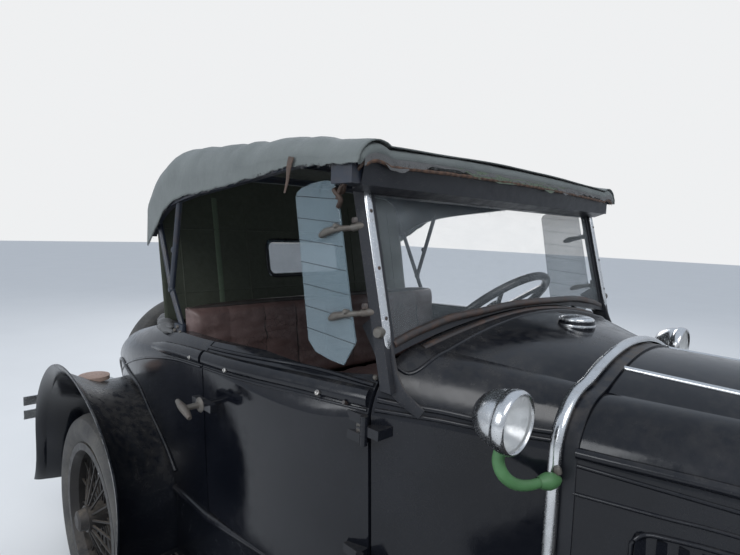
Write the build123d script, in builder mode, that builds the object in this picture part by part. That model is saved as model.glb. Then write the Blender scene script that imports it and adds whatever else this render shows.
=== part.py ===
from build123d import *
from math import atan2, cos, degrees, hypot, pi, radians, sin, tan
import os

# Main dimensions in mm: X is lateral, Y points rearward, Z is up, z = 0 is the ground
WHEELBASE = 2629.0
FRONT_Y = -1575.0
REAR_Y = FRONT_Y + WHEELBASE
TRACK = 1422.0
WHEEL_X = TRACK / 2
TYRE_R = 362.0
TYRE_W = 118.0
RIM_R = 248.0
LENGTH = 4190.0
NOSE_Y = -LENGTH / 2
TAIL_Y = LENGTH / 2
FENDER_X = 840.0
PAD_X = 723.0
PAD_Y = 1101.0
SEAT = 0.3
CLEAR = 6.0
KINGPIN_X = 600.0
PIN_R = 9.0
ARM_Z = 414.0
ARM_LENGTH = 130.0
ROD_R = 5.0
LEAF_R = 8.0
LEAF_X = 592.0
HINGE_Z = (720.0, 1010.0)
HINGE_H = 20.0
DRUM_R = 140.0
SPINDLE_R = 15.5
RAIL_TOP = 585.0
RAIL_H = 85.0
FLOOR_T = 20.0
BODY_Z = RAIL_TOP + FLOOR_T
COWL_Y = -450.0
DOOR_Y0 = -150.0
DOOR_Y1 = 430.0
DECK_Y = 780.0
BODY_END = 1720.0
SKIN = 24.0
BAND_W = 24.0
BAND_PROUD = 6.0
HOOD_T = 10.0
HOOD_LOW = 660.0
SILL_T = 4.0
LOUVRES = 22
LOUVRE_STEP = 32.0
LOUVRE_Z0 = 700.0
LOUVRE_Z1 = 900.0
RAD_BACK = -1410.0
RAD_D = 120.0
STRIP_X = 150.0
BOARD_Z = 375.0
BOARD_Y0 = -560.0
FENDER_R = 450.0
BOARD_T = 18.0
SPARE_Y = 1880.0
SPARE_Z = 660.0
GLASS_TILT = 13.9
GLASS_T = 6.0
FRAME_T = 16.0
COLUMN_TILT = 48.0
WHEEL_RIM_R = 205.0
WHEEL_CENTRE = (320.0, 120.0, 1140.0)
LID_Y0 = 1010.0
LID_Y1 = 1600.0
LID_X0 = 340.0
LID_X1 = 290.0
LID_HINGE_X = 190.0
LID_HINGE_Z = 869.5
LID_HINGE_R = 8.0

# y, bottom half width, belt half width, belt z, shoulder mid x, z, shoulder end x, z, crown z
BAND = (COWL_Y, 370, 372, 1005, 346, 1065, 250, 1110, 1164)
WIND = (DOOR_Y0, 556, 578, 1040, 549, 1108, 440, 1168, 1213)
TUB = [
    WIND,
    (DOOR_Y1, 628, 648, 1020, 632, 1070, 560, 1110, 1135),
    (DECK_Y, 622, 642, 985, 622, 1045, 540, 1085, 1112),
    (REAR_Y, 596, 614, 930, 596, 985, 505, 1030, 1060),
    (1400, 510, 532, 850, 516, 902, 440, 940, 965),
    (BODY_END, 388, 412, 660, 400, 705, 335, 730, 748),
]
HOOD = [
    (COWL_Y - BAND_W - CLEAR, 364, 367, 1000, 341, 1059, 246, 1104, 1158),
    (RAD_BACK + CLEAR, 214, 228, 1000, 221, 1066, 168, 1116, 1146),
]
# y, half width at the valance, valance z, corner z, shoulder mid x, z, shoulder end x, z, crown z
TOP = [
    (-150, 628, 1532, 1545, 618, 1560, 540, 1572, 1582),
    (90, 630, 1536, 1558, 618, 1582, 520, 1598, 1612),
    (370, 630, 1506, 1550, 616, 1590, 510, 1615, 1630),
    (700, 627, 1460, 1545, 608, 1598, 500, 1640, 1657),
    (905, 606, 1336, 1456, 588, 1512, 490, 1568, 1586),
]


def section_face(row, low, inset):
    y, wb, wt, zs, mx, mz, tx, tz, zt = row
    k = inset
    with BuildSketch(Plane.XZ.offset(-y)) as face:
        with BuildLine():
            Line((-wb + k, low), (wb - k, low))
            Line((wb - k, low), (wt - k, zs))
            ThreePointArc((wt - k, zs), (mx - 0.8 * k, mz - 0.6 * k), (tx - 0.4 * k, tz - k))
            ThreePointArc((tx - 0.4 * k, tz - k), (0, zt - k), (-tx + 0.4 * k, tz - k))
            ThreePointArc((-tx + 0.4 * k, tz - k), (-mx + 0.8 * k, mz - 0.6 * k), (-wt + k, zs))
            Line((-wt + k, zs), (-wb + k, low))
        make_face()
    return face.sketch


def hull(rows, low, inset, ruled=False):
    with BuildPart() as solid:
        for row in rows:
            add(section_face(row, low, inset))
        loft(ruled=ruled)
    return solid.part


def shifted(row, dy):
    return (row[0] + dy,) + tuple(row[1:])


COWL_OUT = hull([BAND, WIND], BODY_Z, 0, True)
COWL_IN = hull([shifted(BAND, 10), shifted(WIND, 1)], BODY_Z - 40, SKIN, True)
TUB_OUT = hull(TUB, BODY_Z, 0)
TUB_IN = hull([shifted(r, 0) for r in TUB[:-1]] + [shifted(TUB[-1], -SKIN)], BODY_Z - 40, SKIN)


MADE = {}


def save(node, label):
    part = node.part
    part.label = label
    MADE[label] = part
    export_step(part, "parts/" + label + ".step")


def bar(p, q, size):
    # A square bar whose centre line runs from p to q
    p, q = Vector(*p), Vector(*q)
    d = q - p
    with Locations(Plane(origin=(p + q) * 0.5, z_dir=d).location):
        Box(size, size, d.length)


def rod(p, q, radius):
    p, q = Vector(*p), Vector(*q)
    d = q - p
    with Locations(Plane(origin=(p + q) * 0.5, z_dir=d).location):
        Cylinder(radius, d.length)


def bar_x(x0, x1, y0, y1, z0, z1, mode=Mode.ADD):
    with Locations(((x0 + x1) / 2, (y0 + y1) / 2, (z0 + z1) / 2)):
        Box(abs(x1 - x0), abs(y1 - y0), abs(z1 - z0), mode=mode)


def sided(sign, x):
    return sign * x


# Chassis frame: two rails, cross members, fender irons and board brackets
def rail_x(y):
    # Outer face of the frame rail ahead of the cabin
    return 330 + (y + 1690) * 42 / 1390


def hood_sill(s):
    # Ledge from the rail in to the hood line, with an upstand under the hood side
    (x1, y1), (x0, y0) = [(r[1], r[0]) for r in HOOD]
    with BuildSketch(Plane.XY.offset(RAIL_TOP)) as ledge:
        with BuildLine():
            Polyline((s * (x0 - SILL_T), y0), (s * (x1 - SILL_T), y1), (s * rail_x(y1), y1),
                     (s * rail_x(y0), y0), close=True)
        make_face()
    extrude(ledge.sketch, amount=SILL_T)
    with BuildSketch(Plane.XY.offset(RAIL_TOP)) as upstand:
        with BuildLine():
            Polyline((s * (x0 - SILL_T), y0), (s * (x1 - SILL_T), y1), (s * x1, y1), (s * x0, y0), close=True)
        make_face()
    extrude(upstand.sketch, amount=HOOD_LOW - CLEAR - RAIL_TOP)


def chassis_frame():
    with BuildPart() as node:
        for s in (-1, 1):
            with BuildSketch(Plane.XY.offset(RAIL_TOP - RAIL_H)):
                with BuildLine():
                    Polyline(
                        (s * 330, -1690), (s * 372, -300), (s * 372, 1680), (s * 332, 1680),
                        (s * 332, -300), (s * 290, -1690), close=True)
                make_face()
            extrude(amount=RAIL_H)
        # y centre, half length across, width along y, height from the top
        for y, half, wide, high in ((FRONT_Y, 310, 70, RAIL_H), (RAD_BACK - 60, 320, 80, 40), (-300, 340, 60, 60),
                                    (420, 340, 60, 60), (REAR_Y, 340, 60, 45), (1660, 340, 40, RAIL_H)):
            bar_x(-half, half, y - wide / 2, y + wide / 2, RAIL_TOP - high, RAIL_TOP)
        for s in (-1, 1):
            for y in (-330, 330):
                bar_x(s * 350, s * 820, y - 20, y + 20, BOARD_Z - 20, BOARD_Z)
                bar_x(s * 350, s * 372, y - 20, y + 20, BOARD_Z - 20, RAIL_TOP - RAIL_H)
            hood_sill(s)
    save(node, "chassis_frame")


# Front axle: dropped beam with kingpin bosses and the radius rods behind it
def front_axle():
    with BuildPart() as node:
        bar_x(-470, 470, FRONT_Y - 22, FRONT_Y + 22, 290, 345)
        for s in (-1, 1):
            bar((s * 455, FRONT_Y, 318), (s * 585, FRONT_Y, 362), 44)
            with Locations((s * KINGPIN_X, FRONT_Y, 362)):
                Cylinder(24, 64)
            with Locations((s * 470, FRONT_Y, 362)):
                Cylinder(16, 70)
            rod((s * 440, FRONT_Y + 10, 312), (s * 16, -575, 366), 14)
        with Locations((0, -560, 366)):
            Cylinder(36, 44)
        for s in (-1, 1):
            with Locations((s * KINGPIN_X, FRONT_Y, 362)):
                Cylinder(PIN_R + SEAT, 80, mode=Mode.SUBTRACT)
        add(MADE["springs"], mode=Mode.SUBTRACT)
    save(node, "front_axle")


# Rear axle: centre housing, tubes, torque tube, radius rods and backing plates
def rear_axle():
    with BuildPart() as node:
        with Locations((0, REAR_Y, TYRE_R)):
            Sphere(118)
        with Locations(Plane(origin=(0, REAR_Y, TYRE_R), z_dir=(1, 0, 0)).location):
            Cylinder(38, 2 * 642)
        rod((0, REAR_Y - 90, TYRE_R), (0, -280, 450), 36)
        for s in (-1, 1):
            rod((s * 520, REAR_Y - 20, TYRE_R - 20), (s * 25, -180, 430), 12)
            with Locations(Plane(origin=(s * 645, REAR_Y, TYRE_R), z_dir=(1, 0, 0)).location):
                Cylinder(150, 6)
            with Locations(Plane(origin=(s * 668, REAR_Y, TYRE_R), z_dir=(1, 0, 0)).location):
                Cylinder(SPINDLE_R, 50)
            with Locations((s * 520, REAR_Y, 395)):
                Cylinder(16, 60)
        add(MADE["springs"], mode=Mode.SUBTRACT)
    save(node, "rear_axle")


# Two transverse leaf springs
def springs():
    # y, half span, end z, top z at the centre, thickness at the centre
    rows = ((FRONT_Y, 486, 386, 500, 36), (REAR_Y, 536, 410, 540, 40))
    with BuildPart() as node:
        for y, half, ze, zt, thick in rows:
            with BuildSketch(Plane.XZ.offset(-(y + 22))):
                with BuildLine():
                    ThreePointArc((-half, ze), (0, zt), (half, ze))
                    Line((half, ze), (half, ze - 8))
                    ThreePointArc((half, ze - 8), (0, zt - thick), (-half, ze - 8))
                    Line((-half, ze - 8), (-half, ze))
                make_face()
            extrude(amount=44)
    save(node, "springs")


# Engine with gearbox as one plain block, on two mounts
def engine():
    with BuildPart() as node:
        bar_x(-150, 150, -1370, -620, 480, 900)
        bar_x(-95, 95, -1340, -660, 900, 985)
        with Locations(Plane(origin=(0, -560, 560), z_dir=(0, 1, 0)).location):
            Cylinder(170, 130)
        bar_x(-90, 90, -500, -340, 470, RAIL_TOP - 2)
        bar_x(-332, 332, -640, -600, 520, 560)
        add(MADE["chassis_frame"], mode=Mode.SUBTRACT)
        bar_x(-60, 60, -1400, -1360, RAIL_TOP - 65, RAIL_TOP)
    save(node, "engine")


# Exhaust: down pipe, muffler with its hanger, and tail pipe
def exhaust():
    with BuildPart() as node:
        rod((-140, -1000, 560), (-280, -900, 455), 22)
        rod((-280, -900, 455), (-280, 320, 455), 22)
        rod((-280, 300, 455), (-280, 860, 455), 42)
        rod((-280, 850, 455), (-280, 1640, 455), 20)
        bar_x(-290, -270, 410, 430, 455, RAIL_TOP - 60)
        add(MADE["engine"], mode=Mode.SUBTRACT)
        add(MADE["springs"], mode=Mode.SUBTRACT)
    save(node, "exhaust")


# Gear lever, hand brake and three pedals standing on the floor
def floor_controls():
    with BuildPart() as node:
        rod((0, -60, BODY_Z), (0, 0, 866), 7)
        with Locations((0, 0, 876)):
            Sphere(18)
        rod((60, -120, BODY_Z), (60, -90, 860), 7)
        for x in (180, 260, 370):
            rod((x, -300, BODY_Z), (x, -330, 760), 8)
            bar_x(x - 28, x + 28, -338, -322, 735, 790)
        add(MADE["floor"], mode=Mode.SUBTRACT)
    save(node, "floor_controls")


def rad_face(half, low, high, y):
    with BuildSketch(Plane.XZ.offset(-y)) as face:
        with BuildLine():
            Polyline((-half, high - 110), (-half + 12, low), (half - 12, low), (half, high - 110))
            ThreePointArc((half, high - 110), (half - 36, high - 52), (half - 84, high - 26))
            ThreePointArc((half - 84, high - 26), (0, high), (-half + 84, high - 26))
            ThreePointArc((-half + 84, high - 26), (-half + 36, high - 52), (-half, high - 110))
        make_face()
    return face.sketch


# Radiator shell with its filler cap, and the core inside it
def radiator():
    with BuildPart() as node:
        extrude(rad_face(240, RAIL_TOP, 1150, RAD_BACK), amount=RAD_D)
        extrude(rad_face(212, 560, 1118, RAD_BACK + 1), amount=RAD_D + 4, mode=Mode.SUBTRACT)
        bar_x(-214, 214, RAD_BACK - RAD_D, RAD_BACK, RAIL_TOP, 620)
        with Locations((0, RAD_BACK - RAD_D / 2, 1160)):
            Cylinder(30, 40)
        with Locations((0, RAD_BACK - RAD_D / 2, 1186)):
            Cylinder(36, 16)
    save(node, "radiator_shell")
    with BuildPart() as core:
        extrude(rad_face(211.7, 560, 1117.7, RAD_BACK - 22), amount=RAD_D - 40)
        bar_x(-300, 300, RAD_BACK - RAD_D, RAD_BACK, 500, 620.3, mode=Mode.SUBTRACT)
    save(core, "radiator_core")


# Cowl sides with the firewall, the tank that forms the cowl top, and the band ahead of it
def cowl():
    tank_z = 1020
    with BuildPart() as node:
        add(COWL_OUT)
        add(COWL_IN, mode=Mode.SUBTRACT)
        bar_x(-700, 700, COWL_Y - 10, DOOR_Y0 + 10, tank_z, 1300, mode=Mode.SUBTRACT)
        bar_x(-700, 700, DOOR_Y0 - CLEAR / 2, DOOR_Y0 + 10, BODY_Z - 50, 1300, mode=Mode.SUBTRACT)
        for s in (-1, 1):
            for z in HINGE_Z:
                z0, z1 = z - HINGE_H / 2, z + HINGE_H / 2
                rod((s * LEAF_X, DOOR_Y0, z0), (s * LEAF_X, DOOR_Y0, z1), LEAF_R)
                bar_x(s * 545, s * LEAF_X, DOOR_Y0 - 40, DOOR_Y0 - CLEAR / 2, z0, z1)
    save(node, "cowl")
    with BuildPart() as tank:
        add(COWL_OUT)
        bar_x(-700, 700, COWL_Y - 10, DOOR_Y0 + 10, BODY_Z - 50, tank_z, mode=Mode.SUBTRACT)
        bar_x(-700, 700, DOOR_Y0 - CLEAR / 2, DOOR_Y0 + 10, BODY_Z - 50, 1300, mode=Mode.SUBTRACT)
        with Locations((0, -310, 1180)):
            Cylinder(45, 40)
        with Locations((0, -310, 1204)):
            Cylinder(34, 12)
    save(tank, "fuel_tank")
    with BuildPart() as band:
        extrude(section_face(BAND, BODY_Z, -BAND_PROUD), amount=BAND_W)
        extrude(section_face(shifted(BAND, 2), BODY_Z - 30, 18), amount=BAND_W + 4, mode=Mode.SUBTRACT)
    save(band, "cowl_band")


def top_line_cut(mode):
    # Everything above the top rail of the doors and quarters
    with BuildSketch(Plane.YZ.offset(-800)) as cut:
        with BuildLine():
            Polyline((DOOR_Y0 - 20, 1112), (DOOR_Y1, 1091), (DECK_Y, 1078), (DECK_Y, 1400),
                     (DOOR_Y0 - 20, 1400), close=True)
        make_face()
    extrude(cut.sketch, amount=1600, mode=mode)
    with BuildSketch(Plane.XY.offset(990)) as plan:
        with BuildLine():
            Polyline((-540, DOOR_Y0 - 20), (540, DOOR_Y0 - 20), (588, DOOR_Y1), (576, DECK_Y),
                     (-576, DECK_Y), (-588, DOOR_Y1), close=True)
        make_face()
    extrude(plan.sketch, amount=400, mode=mode)


# Rear body: quarters, deck and tail, with the door openings and the lid opening cut out
def body_rear():
    with BuildPart() as node:
        add(TUB_OUT)
        add(TUB_IN, mode=Mode.SUBTRACT)
        top_line_cut(Mode.SUBTRACT)
        bar_x(-800, 800, DOOR_Y0 - 20, DOOR_Y1, BODY_Z - 60, 1400, mode=Mode.SUBTRACT)
        lid_prism(0, Mode.SUBTRACT)
        lid_barrels(LID_HINGE_X - HINGE_H, 1, SEAT)
    save(node, "body_rear")


def lid_prism(gap, mode):
    g = gap
    with BuildSketch(Plane.XY.offset(700)) as cut:
        with BuildLine():
            Polyline((-LID_X0 + g, LID_Y0 + g), (LID_X0 - g, LID_Y0 + g),
                     (LID_X1 - g, LID_Y1 - g), (-LID_X1 + g, LID_Y1 - g), close=True)
        make_face()
    extrude(cut.sketch, amount=500, mode=mode)


def lid_barrels(x, side, gap):
    # A barrel a side on the lid's hinge line, its leaf, and the notch for the barrel beside it
    for s in (-1, 1):
        near, far = s * x, s * (x + HINGE_H - gap)
        other = s * (x + side * HINGE_H)
        cut_rod((other, LID_Y1, LID_HINGE_Z), (other + s * HINGE_H, LID_Y1, LID_HINGE_Z), LID_HINGE_R + CLEAR)
        rod((near, LID_Y1, LID_HINGE_Z), (far, LID_Y1, LID_HINGE_Z), LID_HINGE_R)
        bar_x(near, far, LID_Y1, LID_Y1 + side * 26, LID_HINGE_Z - 34, LID_HINGE_Z)


# Rumble lid cut from the same shell, with the seat back it carries
def rumble_lid():
    with BuildPart() as node:
        add(TUB_OUT)
        add(TUB_IN, mode=Mode.SUBTRACT)
        lid_prism(CLEAR, Mode.INTERSECT)
        lid_barrels(LID_HINGE_X, -1, 0)
    save(node, "rumble_lid")
    with BuildPart() as pad:
        add(hull(TUB, BODY_Z - 40, SKIN + 2))
        lid_prism(40, Mode.INTERSECT)
        with BuildSketch(Plane.YZ.offset(-400)) as slab:
            with BuildLine():
                Polyline((LID_Y0, 965), (1400, 875), (LID_Y1, 745), (LID_Y1, 1200), (LID_Y0, 1200),
                         close=True)
            make_face()
        extrude(slab.sketch, amount=800, mode=Mode.INTERSECT)
        add(MADE["rumble_lid"], mode=Mode.SUBTRACT)
    save(pad, "rumble_seat_back")


# Doors cut from the shell, with the outside handle and the hinge barrels
def doors():
    for s, name in ((-1, "door_right"), (1, "door_left")):
        with BuildPart() as node:
            add(TUB_OUT)
            add(TUB_IN, mode=Mode.SUBTRACT)
            top_line_cut(Mode.SUBTRACT)
            bar_x(0, s * 800, DOOR_Y0 + CLEAR / 2, DOOR_Y1 - CLEAR, BODY_Z + CLEAR, 1400,
                  mode=Mode.INTERSECT)
            rod((s * 640, 345, 950), (s * 682, 345, 950), 9)
            bar_x(s * 672, s * 690, 300, 400, 940, 960)
            for z in HINGE_Z:
                for k in (-1, 1):
                    z0, z1 = sorted((z + k * (HINGE_H / 2 + SEAT), z + k * 1.5 * HINGE_H))
                    rod((s * LEAF_X, DOOR_Y0, z0), (s * LEAF_X, DOOR_Y0, z1), LEAF_R)
                    bar_x(s * 566, s * LEAF_X, DOOR_Y0 + CLEAR / 2, DOOR_Y0 + 50, z0, z1)
        save(node, name)


# Floor with the sill bead, following the body's plan
def floor():
    rows = [BAND] + TUB
    with BuildPart() as node:
        with BuildSketch(Plane.XY.offset(RAIL_TOP)):
            with BuildLine():
                right = [(-r[1] - 4, r[0]) for r in rows]
                left = [(r[1] + 4, r[0]) for r in reversed(rows)]
                Polyline(*right, *left, close=True)
            make_face()
        extrude(amount=FLOOR_T)
        bar_x(284, 380, -420, -290, RAIL_TOP - 5, BODY_Z + 5, mode=Mode.SUBTRACT)
    save(node, "floor")


# Dashboard across the cabin, behind the windshield base
def dash_panel():
    with BuildPart() as node:
        with BuildSketch(Plane.XZ.offset(133)):
            with BuildLine():
                Line((-525, 1020), (525, 1020))
                Line((525, 1020), (525, 1085))
                ThreePointArc((525, 1085), (0, 1185), (-525, 1085))
                Line((-525, 1085), (-525, 1020))
            make_face()
        extrude(amount=20)
    save(node, "dash_panel")


# Seats: cushion and back of the bench, and the rear seat cushion
def seats():
    with BuildPart() as cushion:
        bar_x(-535, 535, 110, 600, BODY_Z + SEAT, 880)
        fillet(cushion.edges().group_by(Axis.Z)[-1], 40)
    save(cushion, "seat_cushion")
    with BuildPart() as back:
        with BuildSketch(Plane.YZ.offset(-530)):
            with BuildLine():
                Polyline((600 + SEAT, BODY_Z + SEAT), (610, 860), (640, 1150), (745, 1150),
                         (745, BODY_Z + SEAT), close=True)
            make_face()
        extrude(amount=1060)
        fillet(back.edges().filter_by(Axis.X).group_by(Axis.Z)[-1], 40)
    save(back, "seat_back")
    with BuildPart() as rear:
        bar_x(-300, 300, 1130, 1480, BODY_Z + SEAT, 770)
        fillet(rear.edges().group_by(Axis.Z)[-1], 25)
    save(rear, "rumble_seat_cushion")


def crown_z(row, x):
    # Height of the crown arc of a section at a lateral distance x
    tx, tz, zt = row[6], row[7], row[8]
    rise = zt - tz
    r = (tx * tx + rise * rise) / (2 * rise)
    return zt - r + (r * r - x * x) ** 0.5


def strip_ends(s):
    x = s * (STRIP_X + ROD_R)
    return [(x, r[0], crown_z(r, x) - ROD_R + 1) for r in HOOD]


def shoulder_ends(s):
    return [(s * (r[2] - ROD_R + 1), r[0], r[3] - 12) for r in HOOD]


# Hood: fixed centre panel with two hinge rods, two hinged tops and two louvred sides
def hood():
    outer = hull(HOOD, HOOD_LOW, 0, True)
    inner = hull(HOOD, HOOD_LOW - 40, HOOD_T, True)
    y0, y1 = HOOD[1][0], HOOD[0][0]
    side_z = HOOD[0][3] - 12
    with BuildPart() as centre:
        add(outer)
        add(inner, mode=Mode.SUBTRACT)
        bar_x(-STRIP_X, STRIP_X, y0, y1, 1050, 1300, mode=Mode.INTERSECT)
        for s in (-1, 1):
            rod(*strip_ends(s), ROD_R)
        bar_x(-60, 60, y1 - 20, COWL_Y - BAND_W - SEAT, 1138, 1146)
        bar_x(-60, 60, RAD_BACK + SEAT, y0 + 20, 1122, 1132)
    save(centre, "hood_centre")
    for s, name in ((-1, "right"), (1, "left")):
        with BuildPart() as top:
            add(outer)
            add(inner, mode=Mode.SUBTRACT)
            bar_x(s * (STRIP_X + ROD_R), s * 500, y0, y1, side_z + ROD_R, 1300, mode=Mode.INTERSECT)
            rod(*shoulder_ends(s), ROD_R)
            cut_rod(*strip_ends(s), ROD_R + SEAT)
        save(top, "hood_top_" + name)
        with BuildPart() as side:
            add(outer)
            add(inner, mode=Mode.SUBTRACT)
            bar_x(0, s * 500, y0, y1, HOOD_LOW - 5, side_z, mode=Mode.INTERSECT)
            louvres(s)
            cut_rod(*shoulder_ends(s), ROD_R + SEAT)
        save(side, "hood_side_" + name)


def louvres(s):
    # Raised slats along the side panel, each open along its rear edge
    (x1, y1), (x0, y0) = [(r[1] + (r[2] - r[1]) * 0.5, r[0]) for r in HOOD]
    slope = (x1 - x0) / (y1 - y0)
    for k in range(LOUVRES):
        y = y0 + 130 + k * LOUVRE_STEP
        x = x0 + slope * (y - y0)
        with BuildSketch(Plane.XY.offset(LOUVRE_Z0)) as slat:
            with BuildLine():
                Polyline((s * (x - 6), y - 14), (s * (x - 4 + slope * 14), y + 14), (s * (x + 9), y + 12),
                         close=True)
            make_face()
        extrude(slat.sketch, amount=LOUVRE_Z1 - LOUVRE_Z0)


def cut_rod(p, q, radius):
    p, q = Vector(*p), Vector(*q)
    d = q - p
    with Locations(Plane(origin=(p + q) * 0.5, z_dir=d).location):
        Cylinder(radius, d.length + 4, mode=Mode.SUBTRACT)


def fender_section(s, plane):
    # The crowned wall: x from the wheel centre line outward, r from the axle
    with BuildSketch(plane) as face:
        with BuildLine():
            Line((-171, 0), (-171, -5))
            ThreePointArc((-171, 0), (-20, 8), (95, -45))
            ThreePointArc((95, -45), (121, -70), (129, -92))
            Line((129, -92), (124, -92))
            ThreePointArc((124, -92), (116, -73), (91.5, -49))
            ThreePointArc((91.5, -49), (-20, 3), (-171, -5))
        make_face()
    return face.sketch


# angle from the rearward level, inner radius, lip radius, lip's distance out from the wheel's middle
REAR_STATIONS = [
    (-4, 462, 400, 106), (28, 468, 404, 106), (62, 476, 408, 116), (92, 484, 404, 124), (120, 486, 384, 124),
    (146, 484, 350, 124), (163, 440, 328, 124), (178, 420, 316, 124),
]


def rear_section(s, angle, r_in, r_lip, w):
    a, k = radians(angle), (r_in - r_lip) / 92
    origin = (s * WHEEL_X, REAR_Y + r_in * cos(a), TYRE_R + r_in * sin(a))
    plane = Plane(origin=origin, x_dir=(s, 0, 0), z_dir=(0, s * sin(a), -s * cos(a)))
    with BuildSketch(plane) as face:
        with BuildLine():
            Line((-171, 0), (-171, -5))
            ThreePointArc((-171, -5), (-20, 3), (w - 32.5, -49 * k))
            ThreePointArc((w - 32.5, -49 * k), (w - 8, -73 * k), (w, -92 * k))
            Line((w, -92 * k), (w + 5, -92 * k))
            ThreePointArc((w + 5, -92 * k), (w - 3, -70 * k), (w - 29, -45 * k))
            ThreePointArc((w - 29, -45 * k), (-20, 8), (-171, 0))
        make_face()
    return face.sketch


# Rear fenders: one lofted wall a side, cut to the body and the floor
def fenders():
    halves = []
    for s in (-1, 1):
        with BuildPart() as one:
            for row in REAR_STATIONS:
                add(rear_section(s, *row))
            loft()
        halves.append(one.part)
    with BuildPart() as rear:
        for half in halves:
            add(half)
        add(TUB_OUT, mode=Mode.SUBTRACT)
        add(MADE["floor"], mode=Mode.SUBTRACT)
    save(rear, "rear_fenders")
    with BuildPart() as pad:
        with Locations((-PAD_X, PAD_Y, 856)):
            Cylinder(50, 14)
        with Locations((-PAD_X, PAD_Y, 835)):
            Cylinder(22, 44)
        add(rear.part, mode=Mode.SUBTRACT)
        bar_x(-PAD_X - 60, -PAD_X + 60, PAD_Y - 60, PAD_Y + 60, 700, 848, mode=Mode.SUBTRACT)
    save(pad, "step_pad")


def arc_middle(start, end, t):
    # Middle point of the arc that leaves start along t and reaches end
    cx, cy = end[0] - start[0], end[1] - start[1]
    c = hypot(cx, cy)
    along = (t[0] * cx + t[1] * cy) / c
    px, py = t[0] - along * cx / c, t[1] - along * cy / c
    p = hypot(px, py)
    rise = c / 2 * tan(atan2(p, along) / 2)
    return (start[0] + cx / 2 + px / p * rise, start[1] + cy / 2 + py / p * rise)


def front_apron(s, out, t, r2, end):
    # Ruled sheet from the fender's inner edge down to the top of the frame rail
    thick = 4.0
    y_front = -1690.0
    z_front = TYRE_R - 8 + (FENDER_R ** 2 - (y_front - FRONT_Y) ** 2) ** 0.5
    top = (FRONT_Y, TYRE_R - 8 + FENDER_R)
    stop = -640.0
    z_stop = end[1] + r2 - (r2 ** 2 - (end[0] - stop) ** 2) ** 0.5
    ya, yb = -1420.0, -900.0
    za = TYRE_R - 8 + (FENDER_R ** 2 - (ya - FRONT_Y) ** 2) ** 0.5
    zb = end[1] + r2 - (r2 ** 2 - (end[0] - yb) ** 2) ** 0.5
    zm = end[1] + r2 - (r2 ** 2 - (end[0] - (yb + stop) / 2) ** 2) ** 0.5
    outer = [(y_front, z_front), top, (ya, za), out, (yb, zb), ((yb + stop) / 2, zm), (stop, z_stop)]
    edge, rail = s * (WHEEL_X - 166), s * 325
    with BuildPart() as sheet:
        for (y0, z0), (y1, z1) in zip(outer, outer[1:]):
            for x, low0, low1 in ((edge, z0 - 5, z1 - 5), (rail, RAIL_TOP, RAIL_TOP)):
                with BuildSketch(Plane.YZ.offset(x)):
                    with BuildLine():
                        Polyline((y0, low0), (y1, low1), (y1, low1 + thick), (y0, low0 + thick), close=True)
                    make_face()
            loft(ruled=True)
    return sheet.part


# Front fenders swept along their side curve, with the aprons and irons that carry them
def front_fenders():
    # Path in the side view: nose, over the tyre, down to the running board
    with BuildPart() as node:
        for s in (-1, 1):
            r, low, high = FENDER_R, radians(8), radians(40)
            zc = TYRE_R - 8
            nose = (FRONT_Y - r * cos(low), zc + r * sin(low))
            nose_mid = (FRONT_Y - r * cos(radians(50)), zc + r * sin(radians(50)))
            top = (FRONT_Y, zc + r)
            mid = (FRONT_Y + r * sin(high / 2), zc + r * cos(high / 2))
            out = (FRONT_Y + r * sin(high), zc + r * cos(high))
            t = (cos(high), -sin(high))
            end = (BOARD_Y0, BOARD_Z + BOARD_T + 30)
            # The concave arc ends level at the board; a short straight joins it to the crown
            run, drop = end[0] - out[0], out[1] - end[1]
            r2 = (run - drop / tan(high)) / (sin(high) - (1 - cos(high)) / tan(high))
            d = (drop - r2 * (1 - cos(high))) / sin(high)
            knee = (out[0] + t[0] * d, out[1] + t[1] * d)
            with BuildLine(Plane.YZ.offset(s * WHEEL_X)) as path:
                ThreePointArc(nose, nose_mid, top)
                ThreePointArc(top, mid, out)
                Line(out, knee)
                ThreePointArc(knee, arc_middle(knee, end, t), end)
            plane = Plane(origin=(s * WHEEL_X, nose[0], nose[1]), x_dir=(s, 0, 0),
                          z_dir=(0, s * sin(radians(8)), s * cos(radians(8))))
            add(fender_section(s, plane))
            sweep(path=path.wires()[0], transition=Transition.ROUND)
            add(front_apron(s, out, t, r2, end))
        for s in (-1, 1):
            rod((s * 322, FRONT_Y + 200, RAIL_TOP - 25), (s * 430, FRONT_Y + 200, 690), 11)
            rod((s * 430, FRONT_Y + 200, 690), (s * 620, FRONT_Y + 200, 752), 11)
        add(MADE["chassis_frame"], mode=Mode.SUBTRACT)
    save(node, "front_fenders")


# Running boards with the splash aprons between board and body
def running_boards():
    with BuildPart() as node:
        for s in (-1, 1):
            bar_x(s * 560, s * 832, -600, 640, BOARD_Z, BOARD_Z + BOARD_T)
            with BuildSketch(Plane.XY.offset(BOARD_Z + BOARD_T)) as plan:
                with BuildLine():
                    Polyline((s * 566, -600), (s * 624, 634), (s * 618, 634), (s * 560, -600), close=True)
                make_face()
            extrude(plan.sketch, amount=RAIL_TOP - BOARD_Z - BOARD_T)
            bar_x(s * 372, s * 575, -638, DOOR_Y0, RAIL_TOP - 4, RAIL_TOP)
        for label in ("rear_fenders", "front_fenders", "floor", "chassis_frame"):
            add(MADE[label], mode=Mode.SUBTRACT)
    save(node, "running_boards")


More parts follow.
